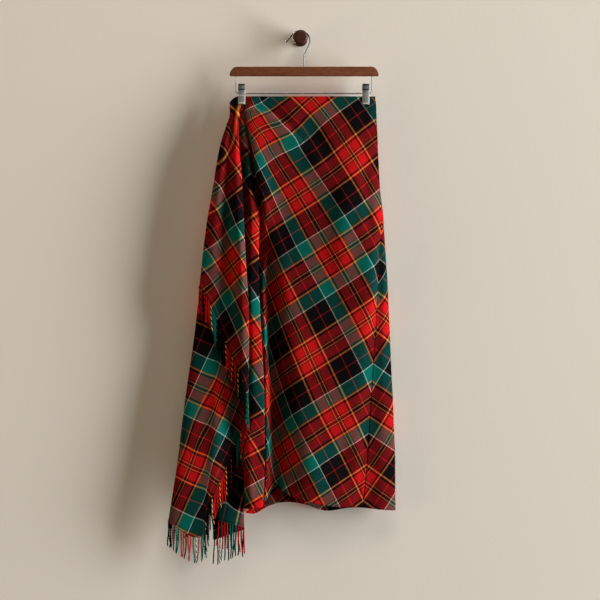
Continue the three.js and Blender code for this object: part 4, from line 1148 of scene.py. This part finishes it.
def make_clip(side, x, front_jaw, back_jaw):
    """The four pieces of one clip, each with the node it stands for."""
    off_wire = HUB_RADIUS + HUB_GAP + CLIP_PLATE / 2
    front, back = HANGER_Y - off_wire, HANGER_Y + off_wire
    front_profile = [
        (front - 8, CLIP_TOP), (front - 5.2, CLIP_TOP - 6), (front - 1.4, CLIP_TOP - 13),
        (front, WIRE_LOW + 2.5), (front, WIRE_LOW - 2.5), (min(front, front_jaw), -137),
        (front_jaw, -143), (front_jaw, CLIP_BOTTOM + 3), (front_jaw - 1.6, CLIP_BOTTOM),
    ]
    back_profile = [
        (back + 7, CLIP_TOP - 1), (back + 4.6, CLIP_TOP - 6), (back + 1.2, CLIP_TOP - 13),
        (back, WIRE_LOW + 2.5), (back, WIRE_LOW - 2.5), (back_jaw + 1, -136),
        (back_jaw, -141), (back_jaw, CLIP_BOTTOM + 3), (back_jaw + 1.4, CLIP_BOTTOM),
    ]
    bore, rim = WIRE_RADIUS + 0.4, HUB_RADIUS - 0.4
    half_hub = [(bore, HUB_HALF), (rim, HUB_HALF), (HUB_RADIUS, HUB_HALF - 0.4)]
    hub = [(radius, -height) for radius, height in half_hub] + half_hub[::-1]

    def on_wire(height, u, v):
        return x + height, HANGER_Y + u, WIRE_LOW + v

    return {
        f"clip_{side}_hub": turned(f"pivot_{side}", hub, on_wire, sides=40),
        f"clip_{side}_front": pressed_plate(f"front_plate_{side}", x, front_profile, -1.1),
        f"clip_{side}_back": pressed_plate(f"back_plate_{side}", x, back_profile, 0.9),
        f"clip_{side}_grip": ribbed_grip(f"ribbed_grip_{side}", x, front),
    }


GRIP_RIBS = 5
GRIP_SLOPE = np.array([6.9, -13.6])


def ribbed_grip(name, x, front):
    """The ribbed pad on the front handle: a waved face over a flat back."""
    start = np.array([front - 9.9, CLIP_TOP + 0.6])
    outward = unit(np.array([GRIP_SLOPE[1], -GRIP_SLOPE[0]]))
    shares = np.linspace(0, 1, GRIP_RIBS * 8 + 1)
    lift = 1.25 + 0.55 * np.sqrt(np.abs(np.sin(shares * GRIP_RIBS * math.pi)))
    lift[[0, -1]] = 0.6
    slope = start + GRIP_SLOPE * shares[:, None]
    face = slope + outward * lift[:, None]
    base = slope + outward * 0.1
    outline = np.concatenate([face, base[::-1]])
    middle = (face + base) / 2
    middle = np.concatenate([middle, middle[::-1]])
    half = CLIP_WIDTH / 2 + 0.1
    rings = []
    for place, inset in ((-half, 0.35), (-half + 0.4, 0.0), (half - 0.4, 0.0), (half, 0.35)):
        ring = middle + (outline - middle) * (1 - inset)
        rings.append(np.column_stack([np.full(len(ring), x + place), ring]))
    return ring_mesh(name, rings, sharp=40)


clips = {
    **make_clip("left", LEFT_CLIP_X, LEFT_JAW_Y, BACK_JAW_Y),
    **make_clip("right", RIGHT_CLIP_X, RIGHT_JAW_Y, BACK_JAW_Y),
}
print("clip pieces:", len(clips))

# %% [markdown]
# ## The tartan
# A tartan is one list of stripe widths, the sett, used by both thread families and mirrored at its two
# ends. A painted image would blur in close views, so the sett is a colour ramp read through a ping-pong.
# Where two stripes cross, each shows on half of the threads, and the eye mixes them. The mix is made darker
# than their mean: painted shade between the crossing threads.

# %% Thread colours and the sett
THREADS = {
    "red": (0.47, 0.006, 0.008),
    "green": (0.0015, 0.110, 0.088),
    "black": (0.0030, 0.0026, 0.0034),
    "yellow": (0.72, 0.34, 0.045),
    "white": (0.66, 0.68, 0.62),
}
FINE_LINES = [
    ("black", 2.5), ("red", 1.5), ("yellow", 1.8), ("black", 2.5), ("red", 20.2),
    ("black", 4.4), ("red", 1.3), ("yellow", 2.4), ("red", 1.4),
]
MIDDLE = [("green", 29.9), ("white", 1.7), ("black", 28.475), ("red", 1.8), ("black", 28.475)]
SETT = FINE_LINES + MIDDLE + FINE_LINES[::-1]
SETT_WIDTH = sum(width for _, width in SETT)
print("half sett:", SETT_WIDTH, "mm")


# %% Helpers for shader nodes
def new_group(name, inputs, outputs):
    """An empty node group with typed sockets, and its two end nodes."""
    group = bpy.data.node_groups.new(name, "ShaderNodeTree")
    for label, kind, value in inputs:
        socket = group.interface.new_socket(label, in_out="INPUT", socket_type=kind)
        if value is not None:
            socket.default_value = value
    for label, kind in outputs:
        group.interface.new_socket(label, in_out="OUTPUT", socket_type=kind)
    start, end = group.nodes.new("NodeGroupInput"), group.nodes.new("NodeGroupOutput")
    return group, start, end


def plug(tree, socket, value):
    """Gives an input a number or a colour, or links another node's output to it."""
    if isinstance(value, (int, float, tuple)):
        socket.default_value = value
    else:
        tree.links.new(value, socket)


def set_inputs(tree, node, **values):
    """Plugs inputs by name, where an underscore stands for a blank."""
    for name, value in values.items():
        plug(tree, node.inputs[name.replace("_", " ")], value)


def math_node(tree, kind, first, second=None):
    """A math node whose inputs are numbers or sockets; returns its output."""
    node = tree.nodes.new("ShaderNodeMath")
    node.operation = kind
    plug(tree, node.inputs[0], first)
    if second is not None:
        plug(tree, node.inputs[1], second)
    return node.outputs[0]


def scaled(tree, value, factor, plus):
    """value × factor + plus"""
    return math_node(tree, "ADD", math_node(tree, "MULTIPLY", value, factor), plus)


def centred(tree, value, factor=1.0):
    """(value - 0.5) × factor"""
    return math_node(tree, "MULTIPLY", math_node(tree, "SUBTRACT", value, 0.5), factor)


def mix_colours(tree, factor, first, second):
    node = tree.nodes.new("ShaderNodeMix")
    node.data_type = "RGBA"
    for number, value in ((0, factor), (6, first), (7, second)):
        plug(tree, node.inputs[number], value)
    return node.outputs[2]


def noise_node(tree, vector, scale, detail=2.0, roughness=0.5):
    node = tree.nodes.new("ShaderNodeTexNoise")
    set_inputs(tree, node, Scale=scale, Detail=detail, Roughness=roughness, Vector=vector)
    return node.outputs["Fac"]


def gamma_node(tree, colour, power):
    node = tree.nodes.new("ShaderNodeGamma")
    set_inputs(tree, node, Color=colour, Gamma=power)
    return node.outputs["Color"]


def brightened(tree, colour, value):
    """The colour with its value multiplied."""
    node = tree.nodes.new("ShaderNodeHueSaturation")
    set_inputs(tree, node, Color=colour, Value=value)
    return node.outputs["Color"]


def group_node(tree, group):
    node = tree.nodes.new("ShaderNodeGroup")
    node.node_tree = group
    return node


def stretched(tree, place, scale):
    """Coordinates scaled along each axis."""
    node = tree.nodes.new("ShaderNodeMapping")
    set_inputs(tree, node, Vector=place, Scale=scale)
    return node.outputs["Vector"]


def parts(tree, vector):
    """The X, Y and Z outputs of a vector."""
    node = tree.nodes.new("ShaderNodeSeparateXYZ")
    plug(tree, node.inputs[0], vector)
    return node.outputs


# %% Node group: one stripe of the sett
sett_group, start, end = new_group(
    "sett stripe", [("Place", "NodeSocketFloat", 0.0)], [("Colour", "NodeSocketColor")])
folded = math_node(sett_group, "PINGPONG", start.outputs["Place"], SETT_WIDTH * MM)
ramp = sett_group.nodes.new("ShaderNodeValToRGB")
ramp.color_ramp.interpolation = "CONSTANT"
set_inputs(sett_group, ramp, Fac=math_node(sett_group, "DIVIDE", folded, SETT_WIDTH * MM))
stops = ramp.color_ramp.elements
while len(stops) < len(SETT):
    stops.new(0.999)
stripe_edge = 0.0
for stop, (thread, width) in zip(stops, SETT):
    stop.position = stripe_edge / SETT_WIDTH
    stop.color = (*THREADS[thread], 1.0)
    stripe_edge += width
set_inputs(sett_group, end, Colour=ramp.outputs["Color"])
print("sett stops:", len(stops))

# %% [markdown]
# ## Woven in a twill
# The threads cross two over, two under, which draws fine slanting lines. The group reads the two thread
# counts from the UV map, takes both stripe colours, lets the warp or the weft lie on top, and gives a height
# for the rounded threads. A little uneven dye and lint keep the plain areas from looking printed.

# %% Node group: woven tartan
THREAD_PITCH = 0.62 * MM
# Stripe colours are mixed after this power and raised back, so each crossing of two colours is darker than
# their mean: painted shade where the threads cross.
CROSSING_SHADE_POWER = 0.34
weave_group, start, end = new_group(
    "woven tartan",
    [("Grain", "NodeSocketVector", None), ("Thread contrast", "NodeSocketFloat", 0.5),
     ("Lint", "NodeSocketFloat", 0.1)],
    [("Colour", "NodeSocketColor"), ("Height", "NodeSocketFloat")],
)
counts = parts(weave_group, start.outputs["Grain"])
stripes, threads, ridges = [], [], []
for axis in "XY":
    stripe = group_node(weave_group, sett_group)
    set_inputs(weave_group, stripe, Place=counts[axis])
    stripes.append(gamma_node(weave_group, stripe.outputs["Colour"], CROSSING_SHADE_POWER))
    thread = math_node(weave_group, "DIVIDE", counts[axis], THREAD_PITCH)
    threads.append(math_node(weave_group, "FLOOR", thread))
    wave = math_node(weave_group, "SINE", math_node(weave_group, "MULTIPLY", thread, math.pi))
    ridges.append(math_node(weave_group, "ABSOLUTE", wave))
step = math_node(weave_group, "ADD", threads[0], threads[1])
step = math_node(weave_group, "FRACT", math_node(weave_group, "MULTIPLY", step, 0.25))
warp_up = math_node(weave_group, "LESS_THAN", step, 0.5)
swing = centred(weave_group, warp_up, start.outputs["Thread contrast"])
showing = math_node(weave_group, "ADD", swing, 0.5)
# The colour of two crossing stripes, darkened by the power round the mix: painted shade between the threads.
crossed_and_shaded = gamma_node(weave_group, mix_colours(weave_group, showing, stripes[1], stripes[0]), 1 / CROSSING_SHADE_POWER)
lint = noise_node(weave_group, start.outputs["Grain"], 900.0, 3.0, 0.7)
dye = noise_node(weave_group, start.outputs["Grain"], 28.0, 2.0)
uneven = math_node(weave_group, "ADD", centred(weave_group, lint), centred(weave_group, dye, 0.8))
uneven = scaled(weave_group, uneven, start.outputs["Lint"], 1.0)
over = math_node(weave_group, "MULTIPLY", ridges[0], warp_up)
weft_up = math_node(weave_group, "SUBTRACT", 1.0, warp_up)
under = math_node(weave_group, "MULTIPLY", ridges[1], weft_up)
raised = scaled(weave_group, lint, 0.8, math_node(weave_group, "ADD", over, under))
set_inputs(weave_group, end, Colour=brightened(weave_group, crossed_and_shaded, uneven), Height=raised)


# %% Material: brushed wool tartan
def new_material(name):
    material = bpy.data.materials.new(name)
    material.use_nodes = True
    tree = material.node_tree
    return material, tree, tree.nodes["Principled BSDF"]


def bumped(tree, height, strength, distance):
    """A normal that follows a height."""
    node = tree.nodes.new("ShaderNodeBump")
    set_inputs(tree, node, Strength=strength, Distance=distance, Height=height)
    return node.outputs["Normal"]


def grain_of(tree):
    node = tree.nodes.new("ShaderNodeUVMap")
    node.uv_map = "grain"
    return node.outputs["UV"]


tartan, tree, shader = new_material("wool_tartan")
woven = group_node(tree, weave_group)
set_inputs(tree, woven, Grain=grain_of(tree), Thread_contrast=0.5, Lint=0.3)
set_inputs(
    tree, shader, Base_Color=woven.outputs["Colour"],
    Normal=bumped(tree, woven.outputs["Height"], 0.35, 0.0003),
    Roughness=0.92, Specular_IOR_Level=0.04,
    Sheen_Weight=0.01, Sheen_Roughness=0.45, Sheen_Tint=(1.0, 0.9, 0.85, 1.0),
)

# %% Material: fringe yarn
yarn, tree, shader = new_material("fringe_yarn")
stripe = group_node(tree, sett_group)
set_inputs(tree, stripe, Place=parts(tree, grain_of(tree))["X"])
fibre = noise_node(tree, grain_of(tree), 1400.0, 3.0, 0.7)
set_inputs(
    tree, shader, Base_Color=brightened(tree, stripe.outputs["Colour"], scaled(tree, fibre, 0.7, 0.45)),
    Normal=bumped(tree, fibre, 0.5, 0.0003), Roughness=0.95, Specular_IOR_Level=0.04,
)

# %% [markdown]
# ## Wood, steel and grips
# The bar is a stained hardwood with fine dark lines along it, under a thin satin coat. The peg is a darker
# turned piece of the same kind, so one grain group serves both. The wires are polished steel with a faint
# unevenness, the clip plates are brushed, and the grips are dull plastic, grey between two black bands.

# %% Node group: wood grain
grain_group, start, end = new_group(
    "wood grain",
    [("Place", "NodeSocketVector", None), ("Light", "NodeSocketColor", (0.2, 0.08, 0.04, 1)),
     ("Dark", "NodeSocketColor", (0.05, 0.02, 0.01, 1))],
    [("Colour", "NodeSocketColor"), ("Lines", "NodeSocketFloat")],
)
along_bar = stretched(grain_group, start.outputs["Place"], (0.045, 1.0, 1.0))
broad = noise_node(grain_group, along_bar, 260.0, 4.0, 0.6)
fine = noise_node(grain_group, along_bar, 1500.0, 2.0, 0.6)
pores = grain_group.nodes.new("ShaderNodeValToRGB")
for stop, position in zip(pores.color_ramp.elements, (0.36, 0.52)):
    stop.position = position
set_inputs(grain_group, pores, Fac=fine)
streak = scaled(grain_group, pores.outputs["Color"], 0.55, -0.45)
tone = scaled(grain_group, broad, 0.9, streak)
clear = math_node(grain_group, "MINIMUM", math_node(grain_group, "MAXIMUM", tone, 0.0), 1.0)
wood_colour = mix_colours(grain_group, clear, start.outputs["Dark"], start.outputs["Light"])
set_inputs(grain_group, end, Colour=wood_colour, Lines=clear)


# %% Materials: bar, peg, steel and grips
def object_place(tree):
    return tree.nodes.new("ShaderNodeTexCoord").outputs["Object"]


def wood_material(name, light, dark, roughness, coat):
    material, tree, shader = new_material(name)
    wood = group_node(tree, grain_group)
    set_inputs(tree, wood, Light=(*light, 1), Dark=(*dark, 1), Place=object_place(tree))
    set_inputs(
        tree, shader, Base_Color=wood.outputs["Colour"],
        Normal=bumped(tree, wood.outputs["Lines"], 0.25, 0.0002),
        Roughness=roughness, Specular_IOR_Level=0.3, Coat_Weight=coat, Coat_Roughness=0.3,
    )
    return material


def steel_material(name, stretch, scale, dark, light, roughness, rougher, marked, metallic):
    """Steel whose fine marks are drawn out by `stretch` and change its tone, roughness and surface."""
    material, tree, shader = new_material(name)
    marks = noise_node(tree, stretched(tree, object_place(tree), stretch), scale, 3.0, 0.6)
    set_inputs(
        tree, shader, Base_Color=mix_colours(tree, marks, (*dark, 1), (*light, 1)),
        Roughness=scaled(tree, marks, rougher, roughness), Normal=bumped(tree, marks, marked, 0.0001),
        Metallic=metallic,
    )
    return material


bar_wood = wood_material("satin_dark_hardwood", (0.29, 0.088, 0.030), (0.062, 0.018, 0.008), 0.5, 0.08)
peg_wood = wood_material("turned_dark_hardwood", (0.080, 0.027, 0.012), (0.026, 0.009, 0.005), 0.45, 0.1)
steel = steel_material(
    "polished_steel", stretch=(1.0, 1.0, 1.0), scale=700.0,
    dark=(0.11, 0.11, 0.115), light=(0.20, 0.20, 0.205),
    roughness=0.2, rougher=0.12, marked=0.05, metallic=1.0,
)
plate_steel = steel_material(
    "brushed_steel", stretch=(1.0, 1.0, 0.03), scale=900.0,
    dark=(0.20, 0.20, 0.205), light=(0.62, 0.62, 0.62),
    roughness=0.38, rougher=0.2, marked=0.2, metallic=0.8,
)

GRIP_MIDDLE, GREY_HALF = 117.0, 3.6
grip, tree, shader = new_material("ribbed_grip_plastic")
grit = noise_node(tree, object_place(tree), 1200.0, 3.0, 0.6)
grip_height = parts(tree, object_place(tree))["Z"]
off_middle = math_node(tree, "ABSOLUTE", math_node(tree, "ADD", grip_height, GRIP_MIDDLE * MM))
banded = math_node(tree, "GREATER_THAN", off_middle, GREY_HALF * MM)
grey = mix_colours(tree, grit, (0.10, 0.10, 0.10, 1), (0.22, 0.22, 0.22, 1))
set_inputs(
    tree, shader, Base_Color=mix_colours(tree, banded, grey, (0.008, 0.008, 0.009, 1)),
    Normal=bumped(tree, grit, 0.2, 0.0002), Roughness=0.55,
)
print("materials:", [material.name for material in bpy.data.materials])


# %% [markdown]
# ## Pieces and their nodes
# The plain model has one solid for each part of the skirt and its hanger. Each piece made here takes the
# place of one of them, whose solid is hidden, or shares its place, as a fringe shares it with its
# heading. Everything hangs still, so all the pieces are on the one body.

# %% Dress the pieces and hide the plain solids
def dress(piece, material, node):
    """Gives a piece its material, hangs it on the one body and hides the plain solid of the node it stands
    for.
    """
    piece.data.materials.append(material)
    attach(piece, "root")
    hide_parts(node)
    return piece


dress(skirt_front, tartan, "skirt_front")
dress(skirt_back, tartan, "skirt_back")
dress(drape_outer, tartan, "drape_outer")
dress(drape_inner, tartan, "drape_inner")
for node, (strands, heading) in fringes.items():
    dress(strands, yarn, node)
    dress(heading, tartan, node)
dress(wall_peg, peg_wood, "wall_peg")
dress(hanger_bar, bar_wood, "hanger_bar")
dress(hanger_hook, steel, "hanger_hook")
dress(hook_ball, steel, "hanger_hook")
dress(hanger_wire, steel, "hanger_wire")
for node, piece in clips.items():
    if node.endswith("grip"):
        dress(piece, grip, node)
    else:
        dress(piece, plate_steel, node)

# %% [markdown]
# ## What the cloth was cut from
# The width, drop and area of each sheet are printed, to set against its flat size. The frame checks each
# sheet against its flat size, so no fold may stretch it. The tube's panels are cut slantwise from one length
# of cloth, and the drapes are its wrapped end, whose lower edges slant.

def flat_area(grid):
    """Area of a grid of points in mm, as m²."""
    a, b, c, d = grid[:-1, :-1], grid[:-1, 1:], grid[1:, :-1], grid[1:, 1:]
    halves = np.cross(b - a, c - a), np.cross(b - d, c - d)
    return sum(np.linalg.norm(half, axis=-1).sum() for half in halves) / 2 * MM * MM


def width_and_drop(grid):
    """The greatest lengths across and down a grid of points in mm, as m."""
    across_rows, down_columns = (np.linalg.norm(np.diff(grid, axis=axis), axis=-1) for axis in (1, 0))
    return across_rows.sum(1).max() * MM, down_columns.sum(0).max() * MM


for label, grid in (("front", tube_front), ("back", tube_back), ("outer", outer), ("inner", inner)):
    print(label, "width and drop:", np.round(width_and_drop(grid), 3), "area:", round(flat_area(grid), 4))

# %% [markdown]
# ## The room
# The skirt hangs on a plain plastered wall. A tall soft lamp stands far to the right and only a little in
# front of the wall, so each fold is lit on one flank and dark on the other. A weak warm lamp on the left
# keeps the dark flanks open, one above lights the bar and the peg, and one behind brightens views from the
# back. The camera stands five metres off with a long lens, which shows the skirt with little perspective.

# %% Wall and floor
def stage_plane(name, corners, material):
    mesh = bpy.data.meshes.new(name)
    mesh.from_pydata(corners, [], [list(range(len(corners)))])
    mesh.materials.append(material)
    obj = bpy.data.objects.new(name, mesh)
    bpy.context.scene.collection.objects.link(obj)
    for kind in ("diffuse", "glossy", "transmission", "shadow"):
        setattr(obj, f"visible_{kind}", False)


def plaster(name, colour):
    """A pale paint that is seen from its front only."""
    material, tree, shader = new_material(name)
    cloudy = noise_node(tree, object_place(tree), 1.3, 2.0)
    grainy = noise_node(tree, object_place(tree), 160.0, 3.0)
    both = scaled(tree, cloudy, 0.75, math_node(tree, "MULTIPLY", grainy, 0.25))
    darker = tuple(0.95 * c for c in colour)
    set_inputs(
        tree, shader, Base_Color=mix_colours(tree, both, (*darker, 1), (*colour, 1)),
        Normal=bumped(tree, grainy, 0.08, 0.002), Roughness=0.95, Specular_IOR_Level=0.1,
    )
    clear = tree.nodes.new("ShaderNodeBsdfTransparent")
    choose = tree.nodes.new("ShaderNodeMixShader")
    behind = tree.nodes.new("ShaderNodeNewGeometry").outputs["Backfacing"]
    for socket, value in zip(choose.inputs, (behind, shader.outputs["BSDF"], clear.outputs["BSDF"])):
        tree.links.new(value, socket)
    set_inputs(tree, tree.nodes["Material Output"], Surface=choose.outputs["Shader"])
    return material


WALL_Y, FLOOR_Z = 0.002, -4.5
WALL_TOP, ROOM_HALF, ROOM_FRONT, ROOM_BACK = 2.4, 4, -6, 4
wall_corners = [
    (-ROOM_HALF, WALL_Y, FLOOR_Z), (ROOM_HALF, WALL_Y, FLOOR_Z),
    (ROOM_HALF, WALL_Y, WALL_TOP), (-ROOM_HALF, WALL_Y, WALL_TOP),
]
floor_corners = [
    (-ROOM_HALF, ROOM_FRONT, FLOOR_Z), (ROOM_HALF, ROOM_FRONT, FLOOR_Z),
    (ROOM_HALF, ROOM_BACK, FLOOR_Z), (-ROOM_HALF, ROOM_BACK, FLOOR_Z),
]
stage_plane("wall", wall_corners, plaster("wall_paint", (0.78, 0.74, 0.675)))
stage_plane("floor", floor_corners, plaster("floor_paint", (0.74, 0.69, 0.61)))

# %% Lamps
def soft_lamp(name, aim, side, rise, away, width, height, power, colour):
    """A wide lamp `away` metres off, `side` degrees to the right and `rise` degrees up, that faces `aim`."""
    data = bpy.data.lights.new(name, "AREA")
    data.shape = "ELLIPSE"
    data.size, data.size_y = width, height
    data.energy = power
    data.color = colour
    side, rise = math.radians(side), math.radians(rise)
    direction = Vector((math.cos(rise) * math.sin(side), -math.cos(rise) * math.cos(side), math.sin(rise)))
    obj = bpy.data.objects.new(name, data)
    obj.location = Vector(aim) + direction * away
    obj.rotation_euler = direction.to_track_quat("Z", "Y").to_euler()
    bpy.context.scene.collection.objects.link(obj)


SKIRT_MIDDLE = (0.0, -0.03, -0.62)
LAMPS = {
    "key": dict(side=72.5, rise=0, away=12.0, width=5.0, height=13.0, power=3100, colour=(1.0, 0.985, 0.975)),
    "left_fill": dict(side=-75, rise=0, away=8.0, width=5.0, height=9.0, power=230, colour=(1.0, 0.77, 0.50)),
    "above": dict(side=10, rise=62, away=8.0, width=6.0, height=3.0, power=210, colour=(1.0, 0.89, 0.72)),
    "behind": dict(side=-167, rise=28, away=3.0, width=2.0, height=2.0, power=130, colour=(1.0, 0.98, 0.96)),
}
for name, lamp in LAMPS.items():
    soft_lamp(name, SKIRT_MIDDLE, **lamp)
print("lamps:", ", ".join(LAMPS))
world = bpy.data.worlds.new("room")
world.use_nodes = True
tree = world.node_tree
set_inputs(tree, tree.nodes["Background"], Color=(1.0, 0.77, 0.51, 1), Strength=0.04)
bpy.context.scene.world = world
bpy.context.scene.view_settings.view_transform = "Standard"

# %% Camera
CAMERA_AT = (-0.0007, -5.032, -0.616)
SENSOR_WIDTH, LENS = 36.0, 127.66
camera_data = bpy.data.cameras.new("camera")
camera_data.sensor_width = SENSOR_WIDTH
camera_data.lens = LENS
camera = bpy.data.objects.new("camera", camera_data)
camera.location = CAMERA_AT
camera.rotation_euler = (math.radians(90), 0, 0)
bpy.context.scene.collection.objects.link(camera)
bpy.context.scene.camera = camera
